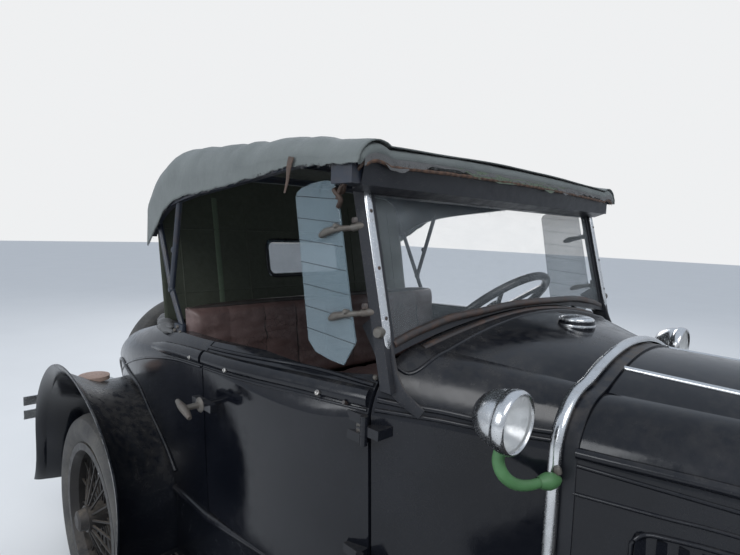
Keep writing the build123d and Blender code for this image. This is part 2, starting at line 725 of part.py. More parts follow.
# Front bumper of two bars, and the pair of short rear bumpers
def bumpers():
    with BuildPart() as front:
        for z in (440, 510):
            with BuildSketch(Plane.XY.offset(z - 22)) as plan:
                with BuildLine():
                    ThreePointArc((-780, NOSE_Y + 18), (0, NOSE_Y), (780, NOSE_Y + 18))
                    Line((780, NOSE_Y + 18), (780, NOSE_Y + 26))
                    ThreePointArc((780, NOSE_Y + 26), (0, NOSE_Y + 8), (-780, NOSE_Y + 26))
                    Line((-780, NOSE_Y + 26), (-780, NOSE_Y + 18))
                make_face()
            extrude(plan.sketch, amount=44)
        for s in (-1, 1):
            bar_x(s * 300, s * 340, NOSE_Y + 10, NOSE_Y + 22, 418, 532)
            bar_x(s * 300, s * 316, NOSE_Y + 22, -1690, 455, 495)
            bar_x(s * 300, s * 316, -1720, -1690, 455, RAIL_TOP)
            bar_x(s * 780, s * 768, NOSE_Y + 18, NOSE_Y + 30, 418, 532)
    save(front, "front_bumper")
    with BuildPart() as rear:
        for s in (-1, 1):
            for z in (440, 510):
                bar_x(s * 400, s * 760, TAIL_Y - 8, TAIL_Y, z - 22, z + 22)
            bar_x(s * 400, s * 412, TAIL_Y - 20, TAIL_Y - 8, 418, 532)
            bar_x(s * 540, s * 580, TAIL_Y - 20, TAIL_Y - 8, 418, 532)
            bar_x(s * 560, s * 580, 1700, TAIL_Y - 20, 460, 500)
            bar_x(s * 340, s * 580, 1680, 1700, 460, 560)
    save(rear, "rear_bumpers")


# Headlamps on their cross bar, cowl lamps on arms, one tail lamp
def lamps():
    lamp_y, lamp_z, lamp_x = -1650.0, 840.0, 330.0
    with BuildPart() as head:
        with BuildLine(Plane.XZ.offset(-lamp_y)) as path:
            ThreePointArc((-565, 792), (0, 730), (565, 792))
        with BuildSketch(Plane(origin=(-565, lamp_y, 792), z_dir=path.wires()[0] % 0)):
            Circle(14)
        sweep(path=path.wires()[0])
        for s in (-1, 1):
            with Locations(Plane(origin=(s * lamp_x, lamp_y, lamp_z), z_dir=(0, -1, 0)).location):
                Cylinder(108, 60)
            with Locations((s * lamp_x, lamp_y + 30, lamp_z)):
                Sphere(100)
            with Locations((s * lamp_x, lamp_y, 760)):
                Cylinder(18, 60)
        add(MADE["front_fenders"], mode=Mode.SUBTRACT)
    save(head, "headlamps")
    with BuildPart() as cowl_lamp:
        for s in (-1, 1):
            with Locations(Plane(origin=(s * 500, -415, 1086), z_dir=(0, -1, 0)).location):
                Cylinder(56, 36)
            with Locations((s * 500, -398, 1086)):
                Sphere(50)
            rod((s * 500, -410, 1050), (s * 480, -425, 965), 9)
            rod((s * 480, -425, 965), (s * 392, -446, 956), 9)
            with Locations(Plane(origin=(s * 392, -446, 956), z_dir=(s, 0, 0)).location):
                Cone(24, 10, 24)
        add(COWL_OUT, mode=Mode.SUBTRACT)
        band_solid(Mode.SUBTRACT)
    save(cowl_lamp, "cowl_lamps")
    with BuildPart() as tail:
        with Locations(Plane(origin=(-470, 1752, 612), z_dir=(0, 1, 0)).location):
            Cylinder(45, 40)
        bar_x(-480, -370, BODY_END, BODY_END + 12, 610, 634)
    save(tail, "tail_lamp")


def band_solid(mode):
    face = section_face(BAND, BODY_Z, -BAND_PROUD)
    extrude(face, amount=BAND_W, mode=mode)


def glass_plane(offset=0.0):
    # Plane of the windshield: x across, y up along the slope, z forward
    a = radians(GLASS_TILT)
    n = Vector(0, -cos(a), sin(a))
    return Plane(origin=Vector(0, -121, 1330) + n * offset, x_dir=(1, 0, 0), z_dir=(n.X, n.Y, n.Z))


def glass_face(side, low, mid_low, top, at=-FRAME_T / 2):
    with BuildSketch(glass_plane(at)) as face:
        with BuildLine():
            Polyline((-side, low), (-side, top), (side, top), (side, low))
            ThreePointArc((side, low), (0, mid_low), (-side, low))
        make_face()
    return face.sketch


# Windshield frame with an arched lower rail, glass, and the two posts
def windshield():
    with BuildPart() as frame:
        extrude(glass_face(541, -178, -123, 172), amount=FRAME_T)
        extrude(glass_face(527, -158, -106, 158, -FRAME_T), amount=2 * FRAME_T, mode=Mode.SUBTRACT)
        add(COWL_OUT, mode=Mode.SUBTRACT)
    save(frame, "windshield_frame")
    with BuildPart() as glass:
        extrude(glass_face(527 - SEAT, -158 + SEAT, -106 + SEAT, 158 - SEAT, -GLASS_T / 2),
                amount=GLASS_T)
    save(glass, "windshield_glass")
    with BuildPart() as posts:
        for s in (-1, 1):
            with BuildSketch(glass_plane(-FRAME_T / 2 - 6)) as face:
                with Locations((s * (541 + SEAT + 12), -45)):
                    Rectangle(24, 460)
            extrude(face.sketch, amount=FRAME_T + 12)
        add(COWL_OUT, mode=Mode.SUBTRACT)
        bar_x(-600, 600, -400, 0, 900, 1090, mode=Mode.SUBTRACT)
    save(posts, "windshield_posts")
    with BuildPart() as wings:
        for s in (-1, 1):
            with BuildSketch(Plane.YZ.offset(s * 582)) as face:
                with BuildLine():
                    # y, z round the pane, from the low front tip
                    Polyline((-77, 1126), (17, 1137), (43, 1160), (103, 1480), (80, 1500), (11, 1512), (-26, 1508),
                             (-43, 1480), (-113, 1181), close=True)
                make_face()
            extrude(face.sketch, amount=s * 5)
            bar_x(s * 560, s * 582, -75, -45, 1400, 1420)
            bar_x(s * 560, s * 582, -112, -80, 1200, 1220)
        add(posts.part, mode=Mode.SUBTRACT)
    save(wings, "wind_wings")


def top_face(row, inset, low, drop):
    y, w, zb, zs, mx, mz, tx, tz, zt = row
    k = inset
    zl = zb - drop if low is None else low
    with BuildSketch(Plane.XZ.offset(-y)) as face:
        with BuildLine():
            Line((-w + k, zl), (w - k, zl))
            Line((w - k, zl), (w - k, zs))
            ThreePointArc((w - k, zs), (mx - 0.8 * k, mz - 0.6 * k), (tx - 0.4 * k, tz - k))
            ThreePointArc((tx - 0.4 * k, tz - k), (0, zt - k), (-tx + 0.4 * k, tz - k))
            ThreePointArc((-tx + 0.4 * k, tz - k), (-mx + 0.8 * k, mz - 0.6 * k), (-w + k, zs))
            Line((-w + k, zs), (-w + k, zl))
        make_face()
    return face.sketch


def top_solid(inset, dy=0.0, low=None, drop=0.0):
    # The hull of the top, its lower edge at the valance less a drop, or at one level
    rows = [shifted(TOP[0], -dy)] + TOP[1:-1] + [shifted(TOP[-1], dy)]
    with BuildPart() as solid:
        for row in rows:
            add(top_face(row, inset, low, drop))
        loft()
    return solid.part


# Top: cover, rear curtain with its window, and the bows with their irons
def top():
    cover_t, bow_t, bow_gap = 4.0, 18.0, 0.6
    with BuildPart() as cover:
        add(top_solid(0))
        add(top_solid(cover_t, 0.5, drop=30), mode=Mode.SUBTRACT)
    save(cover, "top_cover")
    window = (180, 1225, 1360)
    with BuildPart() as curtain:
        with BuildSketch(Plane.YZ.offset(-600)) as face:
            with BuildLine():
                Polyline((DECK_Y + 6, 1080), (DECK_Y + 10, 1080), (892, 1640), (888, 1640), close=True)
            make_face()
        extrude(face.sketch, amount=1200)
        bar_x(-window[0], window[0], 700, 1000, window[1], window[2], mode=Mode.SUBTRACT)
        add(TUB_OUT, mode=Mode.SUBTRACT)
        add(top_solid(cover_t + SEAT, 0.5, 1000), mode=Mode.INTERSECT)
    save(curtain, "rear_curtain")
    with BuildPart() as bows:
        add(top_solid(cover_t + bow_gap))
        add(top_solid(cover_t + bow_gap + bow_t, 0.5, drop=30), mode=Mode.SUBTRACT)
        keep = [(100, 125), (385, 410), (688, 713), (850, 875)]
        edges = [-400] + [v for pair in keep for v in pair] + [1200]
        for a, b in zip(edges[0::2], edges[1::2]):
            bar_x(-540, 540, a, b, 1300, 1800, mode=Mode.SUBTRACT)
        bar_x(-700, 700, 875, 1200, 1300, 1800, mode=Mode.SUBTRACT)
        bar_x(-700, 700, -400, -125, 1300, 1800, mode=Mode.SUBTRACT)
        for s in (-1, 1):
            rod((s * 612, 646, 1500), (s * 600, 731, 1201), 9)
            rod((s * 600, 731, 1201), (s * 596, 860, 1470), 9)
            rod((s * 600, 735, 1210), (s * 592, 667, 1085), 9)
            bar_x(s * 575, s * 600, 650, 690, 1040, 1100)
        add(MADE["body_rear"], mode=Mode.SUBTRACT)
    with BuildPart() as header:
        add(top_solid(cover_t + 3 * bow_gap, 0.5, drop=130))
        bar_x(-700, 700, -125, -65, 1499.3, 1800, mode=Mode.INTERSECT)
        add(MADE["windshield_posts"], mode=Mode.SUBTRACT)
        add(MADE["wind_wings"], mode=Mode.SUBTRACT)
    with BuildPart() as frame:
        add(bows.part)
        add(header.part)
        add(MADE["rear_curtain"], mode=Mode.SUBTRACT)
    save(frame, "top_bows")
    with BuildPart() as pane:
        with BuildSketch(Plane.YZ.offset(-window[0] + SEAT)) as face:
            with BuildLine():
                Polyline((DECK_Y + 7, 1080), (DECK_Y + 9, 1080), (891, 1640), (889, 1640), close=True)
            make_face()
        extrude(face.sketch, amount=2 * (window[0] - SEAT))
        bar_x(-600, 600, 700, 1000, window[1] + SEAT, window[2] - SEAT, mode=Mode.INTERSECT)
    save(pane, "rear_window")


# Steering: column and wheel, knuckles and tie rod
def steering():
    a = radians(COLUMN_TILT)
    up = Vector(0, cos(a), sin(a))
    centre = Vector(*WHEEL_CENTRE)
    with BuildPart() as column:
        rod(centre - up * (25 + SEAT), centre - up * 700, 20)
        bar_x(290, 354, -390, -330, RAIL_TOP, 640)
        bar_x(310, 330, -133, -121, 870, 1085)
    save(column, "steering_column")
    with BuildPart() as wheel:
        with Locations(Plane(origin=centre, x_dir=(1, 0, 0), z_dir=up).location):
            Torus(WHEEL_RIM_R, 14)
            Cylinder(32, 50)
        for k in range(4):
            b = radians(45 + 90 * k)
            across = Vector(1, 0, 0)
            fore = Vector(0, -sin(a), cos(a))
            d = across * cos(b) + fore * sin(b)
            bar(centre + d * 20, centre + d * (WHEEL_RIM_R - 4), 13)
    save(wheel, "steering_wheel")
    for s, name in ((-1, "knuckle_right"), (1, "knuckle_left")):
        with BuildPart() as knuckle:
            for z in (310, 414):
                bar_x(s * 570, s * 644, FRONT_Y - 24, FRONT_Y + 24, z - 10, z + 10)
            bar_x(s * 632, s * 642, FRONT_Y - 30, FRONT_Y + 30, 300, 424)
            with Locations((s * KINGPIN_X, FRONT_Y, 362)):
                Cylinder(PIN_R, 120)
            with Locations(Plane(origin=(s * 645, FRONT_Y, TYRE_R), z_dir=(1, 0, 0)).location):
                Cylinder(150, 6)
            with Locations(Plane(origin=(s * 668, FRONT_Y, TYRE_R), z_dir=(1, 0, 0)).location):
                Cylinder(SPINDLE_R, 50)
            bar((s * KINGPIN_X, FRONT_Y, ARM_Z), (s * KINGPIN_X, FRONT_Y + ARM_LENGTH, ARM_Z), 18)
            with Locations((s * KINGPIN_X, FRONT_Y + ARM_LENGTH, ARM_Z)):
                Cylinder(14, 18)
            with Locations((s * KINGPIN_X, FRONT_Y + ARM_LENGTH, ARM_Z - 25)):
                Cylinder(6, 44)
        save(knuckle, name)
    with BuildPart() as tie:
        z = ARM_Z - 9 - CLEAR - 12
        y = FRONT_Y + ARM_LENGTH
        rod((-KINGPIN_X, y, z), (KINGPIN_X, y, z), 11)
        for s in (-1, 1):
            with Locations((s * KINGPIN_X, y, z)):
                Cylinder(15, 24)
        for s in (-1, 1):
            with Locations((s * KINGPIN_X, y, z)):
                Cylinder(6 + SEAT, 40, mode=Mode.SUBTRACT)
    save(tie, "tie_rod")


def wire_wheel(drum):
    # Axis along x, outward is +x, x = 0 in the tyre's middle plane
    with BuildPart() as wheel:
        with BuildSketch(Plane.XY) as rim:
            with BuildLine():
                Polyline((-50, 262), (-44, 262), (-44, 240), (-20, 232), (20, 232), (44, 240), (44, 262),
                         (50, 262), (50, 236), (22, 224), (-22, 224), (-50, 236), close=True)
            make_face()
        revolve(rim.sketch, axis=Axis.X)
        with BuildSketch(Plane.XY) as hub:
            with BuildLine():
                Polyline((-57, SPINDLE_R + SEAT), (-57, DRUM_R), (-8, DRUM_R), (-8, 46), (60, 46), (60, 40), (84, 34),
                         (89, 24), (89, 0), (-10, 0), (-10, SPINDLE_R + SEAT), close=True)
            make_face()
        revolve(hub.sketch, axis=Axis.X)
        spokes = 30
        for k in range(spokes):
            b = 2 * pi * k / spokes
            x0, x1 = (50, -8) if k % 2 else (2, 8)
            bar((x0, 42 * cos(b), 42 * sin(b)), (x1, 228 * cos(b), 228 * sin(b)), 6)
    return wheel.part


def tyre_part():
    with BuildPart() as tyre:
        with BuildSketch(Plane.XY) as face:
            with BuildLine():
                Line((-43.5, 241), (43.5, 241))
                Line((43.5, 241), (43.5, 263))
                ThreePointArc((43.5, 263), (TYRE_W / 2, 305), (48, 346))
                ThreePointArc((48, 346), (0, TYRE_R), (-48, 346))
                ThreePointArc((-48, 346), (-TYRE_W / 2, 305), (-43.5, 263))
                Line((-43.5, 263), (-43.5, 241))
            make_face()
        revolve(face.sketch, axis=Axis.X)
    return tyre.part


# Wheels and tyres at the four corners, and the spare
def wheels():
    wheel, tyre = wire_wheel(True), tyre_part()
    places = (
        ("front_left", Location((WHEEL_X, FRONT_Y, TYRE_R))),
        ("front_right", Location((-WHEEL_X, FRONT_Y, TYRE_R), (0, 0, 180))),
        ("rear_left", Location((WHEEL_X, REAR_Y, TYRE_R))),
        ("rear_right", Location((-WHEEL_X, REAR_Y, TYRE_R), (0, 0, 180))),
        ("spare", Location((0, SPARE_Y, SPARE_Z), (0, 0, 90))),
    )
    for name, place in places:
        for kind, shape in (("wheel_", wheel), ("tyre_", tyre)):
            with BuildPart() as node:
                add(shape.moved(place))
            save(node, kind + name)


# Bracket that holds the spare wheel behind the tail
def spare_carrier():
    with BuildPart() as node:
        bar_x(-40, 40, 1680, 1740, 510, 560)
        bar_x(-40, 40, 1740, 1764, 510, SPARE_Z + 60)
        with Locations(Plane(origin=(0, 1793, SPARE_Z), z_dir=(0, 1, 0)).location):
            Cylinder(60, 60)
    save(node, "spare_carrier")


os.makedirs("parts", exist_ok=True)
for make in (chassis_frame, springs, front_axle, rear_axle, engine, exhaust, radiator, cowl, body_rear,
             rumble_lid, doors, floor, floor_controls, dash_panel, seats, hood, fenders, front_fenders,
             running_boards, bumpers, lamps, windshield, top, steering, wheels, spare_carrier):
    make()
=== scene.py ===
import math
import random

import bmesh
import bpy
from mathutils import Matrix, Vector, noise
from mathutils.bvhtree import BVHTree


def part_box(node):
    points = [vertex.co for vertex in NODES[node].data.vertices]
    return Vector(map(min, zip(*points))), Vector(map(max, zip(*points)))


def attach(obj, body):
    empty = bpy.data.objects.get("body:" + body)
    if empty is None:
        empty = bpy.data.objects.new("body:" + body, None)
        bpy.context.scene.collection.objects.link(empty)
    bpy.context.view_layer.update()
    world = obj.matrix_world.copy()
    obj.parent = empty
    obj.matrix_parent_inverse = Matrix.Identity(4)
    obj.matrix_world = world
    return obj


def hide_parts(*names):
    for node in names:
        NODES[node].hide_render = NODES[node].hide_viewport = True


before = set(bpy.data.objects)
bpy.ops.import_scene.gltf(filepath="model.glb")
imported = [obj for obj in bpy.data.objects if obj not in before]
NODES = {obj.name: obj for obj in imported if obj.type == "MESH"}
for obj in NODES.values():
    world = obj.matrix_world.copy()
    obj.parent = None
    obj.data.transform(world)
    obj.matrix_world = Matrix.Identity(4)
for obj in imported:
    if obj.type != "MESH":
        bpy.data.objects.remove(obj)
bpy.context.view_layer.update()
rng = random.Random(7)
SCENE = bpy.context.scene
SCENE.view_settings.view_transform = "Standard"

# camera: solved from landmarks of the photograph
PHOTO_WIDTH, FOCAL_PIXELS, SENSOR_MM = 740.0, 512.0, 36.0
EYE = (-1.2888, -0.8577, 1.4071)
YAW, PITCH, ROLL = math.radians(44.669), math.radians(-5.122), math.radians(1.953)
forward = Vector((math.sin(YAW) * math.cos(PITCH), math.cos(YAW) * math.cos(PITCH), math.sin(PITCH)))
flat_right = forward.cross(Vector((0, 0, 1))).normalized()
flat_up = flat_right.cross(forward)
right = math.cos(ROLL) * flat_right + math.sin(ROLL) * flat_up
up = -math.sin(ROLL) * flat_right + math.cos(ROLL) * flat_up
cam_data = bpy.data.cameras.new("camera")
cam_data.sensor_width = SENSOR_MM
cam_data.lens = SENSOR_MM * FOCAL_PIXELS / PHOTO_WIDTH
cam_data.clip_start = 0.02
camera = bpy.data.objects.new("camera", cam_data)
camera.matrix_world = Matrix((
    (right.x, up.x, -forward.x, EYE[0]),
    (right.y, up.y, -forward.y, EYE[1]),
    (right.z, up.z, -forward.z, EYE[2]),
    (0, 0, 0, 1)))
SCENE.collection.objects.link(camera)
SCENE.camera = camera


# node helpers


class Nodes:
    """A material's node tree, with short calls for what the finishes below use."""

    def __init__(self, name):
        self.mat = bpy.data.materials.new(name)
        self.mat.use_nodes = True
        self.tree = self.mat.node_tree
        self.bsdf = self.tree.nodes["Principled BSDF"]
        self.coords = self.tree.nodes.new("ShaderNodeTexCoord").outputs["Object"]
        self.geometry = self.tree.nodes.new("ShaderNodeNewGeometry")

    def link(self, a, b):
        self.tree.links.new(a, b)

    def set(self, **values):
        for key, value in values.items():
            self.bsdf.inputs[key.replace("_", " ")].default_value = value

    def mapped(self, scale=(1, 1, 1), turn=(0, 0, 0)):
        node = self.tree.nodes.new("ShaderNodeMapping")
        node.inputs["Scale"].default_value = scale
        node.inputs["Rotation"].default_value = turn
        self.link(self.coords, node.inputs["Vector"])
        return node.outputs[0]

    def noise(self, scale, detail=4.0, rough=0.55, vector=None, distortion=0.0):
        node = self.tree.nodes.new("ShaderNodeTexNoise")
        node.inputs["Scale"].default_value = scale
        node.inputs["Detail"].default_value = detail
        node.inputs["Roughness"].default_value = rough
        node.inputs["Distortion"].default_value = distortion
        self.link(vector or self.coords, node.inputs["Vector"])
        return node.outputs["Fac"]

    def voronoi(self, scale):
        node = self.tree.nodes.new("ShaderNodeTexVoronoi")
        node.feature = "DISTANCE_TO_EDGE"
        node.inputs["Scale"].default_value = scale
        self.link(self.coords, node.inputs["Vector"])
        return node.outputs["Distance"]

    def wave(self, scale, direction="X", vector=None, distortion=0.0, detail=2.0):
        node = self.tree.nodes.new("ShaderNodeTexWave")
        node.bands_direction = direction
        node.inputs["Scale"].default_value = scale
        node.inputs["Distortion"].default_value = distortion
        node.inputs["Detail"].default_value = detail
        self.link(vector or self.coords, node.inputs["Vector"])
        return node.outputs["Fac"]

    def range(self, value, low, high, to_low=0.0, to_high=1.0):
        node = self.tree.nodes.new("ShaderNodeMapRange")
        for key, number in (("From Min", low), ("From Max", high), ("To Min", to_low), ("To Max", to_high)):
            node.inputs[key].default_value = number
        self.link(value, node.inputs["Value"])
        return node.outputs["Result"]

    def math(self, operation, a, b):
        node = self.tree.nodes.new("ShaderNodeMath")
        node.operation = operation
        for socket, item in zip(node.inputs, (a, b)):
            if isinstance(item, (int, float)):
                socket.default_value = item
            else:
                self.link(item, socket)
        return node.outputs[0]

    def times(self, a, b):
        return self.math("MULTIPLY", a, b)

    def plus(self, a, b):
        return self.math("ADD", a, b)

    def mix(self, factor, a, b, blend="MIX"):
        node = self.tree.nodes.new("ShaderNodeMix")
        node.data_type = "RGBA"
        node.blend_type = blend
        for index, item in ((0, factor), (6, a), (7, b)):
            if isinstance(item, (int, float)):
                node.inputs[index].default_value = item
            elif isinstance(item, tuple):
                node.inputs[index].default_value = (*item, 1)
            else:
                self.link(item, node.inputs[index])
        return node.outputs[2]

    def up(self):
        """How far the surface faces upward, 0 to 1."""
        node = self.tree.nodes.new("ShaderNodeSeparateXYZ")
        self.link(self.geometry.outputs["Normal"], node.inputs[0])
        return self.range(node.outputs["Z"], 0.2, 1.0)

    def bump(self, height, strength=0.3, distance=0.001, after=None):
        node = self.tree.nodes.new("ShaderNodeBump")
        node.inputs["Strength"].default_value = strength
        node.inputs["Distance"].default_value = distance
        self.link(height, node.inputs["Height"])
        if after is not None:
            self.link(after, node.inputs["Normal"])
        self.link(node.outputs[0], self.bsdf.inputs["Normal"])
        return node.outputs[0]

    def colour(self, value):
        self.link(value, self.bsdf.inputs["Base Color"])

    def rough(self, value):
        self.link(value, self.bsdf.inputs["Roughness"])


def old_paint(name, base, dust_colour, dust=0.5, gloss=(0.12, 0.42), chips=True, dents=0.25, coat=0.0):
    """Aged enamel: wide gloss changes, dust on upward faces, fine scratches, chips to brown primer."""
    n = Nodes(name)
    wide = n.noise(2.6, 5, 0.6)
    fine = n.noise(38, 6, 0.65)
    speck = n.noise(420, 2, 0.5)
    streak = n.noise(30, 3, 0.6, n.mapped((1, 6, 0.5)))
    tone = n.mix(n.range(wide, 0.35, 0.7), base, tuple(c * 1.7 + 0.004 for c in base))
    lying = n.times(n.up(), n.range(n.times(wide, fine), 0.18, 0.42))
    spots = n.times(n.range(speck, 0.62, 0.7), n.range(wide, 0.4, 0.6, 0.05, 0.5))
    cover = n.times(n.math("MAXIMUM", lying, spots), dust)
    tone = n.mix(cover, tone, dust_colour)
    if chips:
        bare = n.range(n.noise(55, 8, 0.75), 0.715, 0.735)
        tone = n.mix(bare, tone, (0.075, 0.04, 0.024))
    n.colour(tone)
    gloss_map = n.range(n.plus(n.times(wide, 0.6), n.times(fine, 0.4)), 0.38, 0.62, *gloss)
    n.rough(n.plus(gloss_map, n.times(cover, 0.5)))
    first = n.bump(n.noise(5.5, 3, 0.5), dents, 0.004)
    n.bump(n.plus(streak, n.times(speck, 0.6)), 0.06, 0.0006, first)
    n.set(IOR=1.5, Specular_IOR_Level=0.34, Coat_Weight=coat, Coat_Roughness=0.12)
    return n.mat


def bright_metal(name, base=(0.72, 0.73, 0.74), gloss=(0.06, 0.3), pits=0.5, rust=0.3):
    """Plated metal gone a little dull, with pits and brown bloom."""
    n = Nodes(name)
    wide = n.noise(9, 5, 0.6)
    pit = n.range(n.noise(260, 3, 0.6), 0.6, 0.72)
    bloom = n.times(n.range(n.noise(34, 6, 0.7), 0.56, 0.72), rust)
    n.colour(n.mix(bloom, n.mix(n.range(wide, 0.3, 0.7), base, tuple(c * 0.8 for c in base)),
        (0.16, 0.09, 0.05)))
    n.rough(n.plus(n.range(wide, 0.3, 0.7, *gloss), n.times(n.math("MAXIMUM", pit, bloom), 0.3)))
    n.bump(n.times(pit, -pits), 0.25, 0.0004, n.bump(n.noise(14, 2, 0.5), 0.12, 0.002))
    n.set(Metallic=1.0)
    return n.mat


def dull_metal(name, base, rust=(0.13, 0.06, 0.03), amount=0.5, rough=(0.45, 0.85), metallic=0.0):
    """Painted or bare iron with rust patches and grain."""
    n = Nodes(name)
    wide = n.noise(12, 6, 0.65)
    grain = n.noise(300, 4, 0.7)
    patch = n.times(n.range(n.noise(26, 8, 0.7), 0.47, 0.62), amount)
    n.colour(n.mix(patch, n.mix(wide, base, tuple(c * 1.6 + 0.004 for c in base)), rust))
    n.rough(n.range(n.plus(wide, n.times(patch, 0.5)), 0.3, 1.0, *rough))
    n.bump(n.plus(grain, n.times(patch, 1.5)), 0.22, 0.0008)
    n.set(Metallic=metallic)
    return n.mat


def top_fabric(name, base, pale, weave=900.0, fade=0.5):
    """Coated cloth, weathered: diagonal twill and pale worn patches."""
    n = Nodes(name)
    wide = n.noise(4.5, 6, 0.65)
    fine = n.noise(60, 6, 0.7)
    thread = n.wave(weave, "DIAGONAL", distortion=0.6, detail=1.0)
    cross = n.wave(weave, "Z", distortion=0.6, detail=1.0)
    mixed = n.plus(n.times(wide, 0.75), n.times(fine, 0.25))
    worn = n.times(n.range(mixed, 0.30, 0.72), fade)
    tone = n.mix(worn, base, pale)
    tone = n.mix(n.times(thread, 0.25), tone, tuple(c * 0.5 for c in base))
    n.colour(tone)
    n.rough(n.range(fine, 0.3, 0.7, 0.62, 0.95))
    n.bump(n.plus(thread, cross), 0.25, 0.0005, n.bump(n.noise(24, 4, 0.6), 0.5, 0.004))
    n.set(Sheen_Weight=0.15, Sheen_Roughness=0.5)
    return n.mat


def cracked_leather(name, base, dark, pale, crack=55.0):
    """Old leatherette: grain, a net of cracks, worn crowns."""
    n = Nodes(name)
    wide = n.noise(7, 5, 0.6)
    grain = n.noise(520, 3, 0.6)
    line = n.range(n.voronoi(crack), 0.0, 0.05, 1.0, 0.0)
    broken = n.times(line, n.range(n.noise(11, 4, 0.6), 0.42, 0.6))
    tone = n.mix(n.range(wide, 0.35, 0.68), base, dark)
    tone = n.mix(n.times(n.range(n.noise(19, 6, 0.7), 0.5, 0.7), 0.55), tone, pale)
    n.colour(n.mix(n.times(broken, 0.8), tone, tuple(c * 0.25 for c in dark)))
    n.rough(n.range(wide, 0.3, 0.7, 0.38, 0.72))
    n.bump(n.math("SUBTRACT", n.times(grain, 0.3), broken), 0.5, 0.0012,
        n.bump(n.noise(16, 3, 0.5), 0.35, 0.006))
    return n.mat


def rubber(name, base=(0.022, 0.022, 0.024), dust=(0.16, 0.15, 0.13), amount=0.5):
    n = Nodes(name)
    wide = n.noise(9, 6, 0.65)
    fine = n.noise(150, 5, 0.7)
    cover = n.times(n.range(n.times(wide, fine), 0.16, 0.4), amount)
    n.colour(n.mix(cover, base, dust))
    n.rough(n.range(fine, 0.3, 0.7, 0.6, 0.92))
    n.bump(n.plus(fine, n.times(n.voronoi(60), -0.4)), 0.3, 0.0012)
    return n.mat


def old_wood(name, base, dark):
    n = Nodes(name)
    grain = n.wave(14, "X", n.mapped((1, 0.08, 1)), distortion=5, detail=4)
    n.colour(n.mix(grain, base, dark))
    n.rough(n.range(n.noise(50, 5, 0.7), 0.3, 0.7, 0.6, 0.95))
    n.bump(grain, 0.3, 0.001)
    return n.mat


def window_glass(name, tint, dirt=0.1, alpha=0.2, rough=0.02, haze_colour=(0.75, 0.76, 0.74)):
    """Thin plate glass: clear with a little haze of dust, gloss from the shader."""
    n = Nodes(name)
    smear = n.noise(6, 6, 0.6, n.mapped((1, 1, 2.5)))
    speck = n.range(n.noise(300, 2, 0.5), 0.66, 0.72)
    haze = n.plus(n.times(n.range(smear, 0.42, 0.75), dirt), n.times(speck, 0.12))
    n.link(n.plus(haze, alpha), n.bsdf.inputs["Alpha"])
    n.colour(n.mix(haze, tint, haze_colour))
    n.rough(n.range(smear, 0.3, 0.8, rough, rough + 0.08))
    n.set(IOR=1.52, Specular_IOR_Level=0.9)
    n.mat.surface_render_method = "BLENDED"
    return n.mat


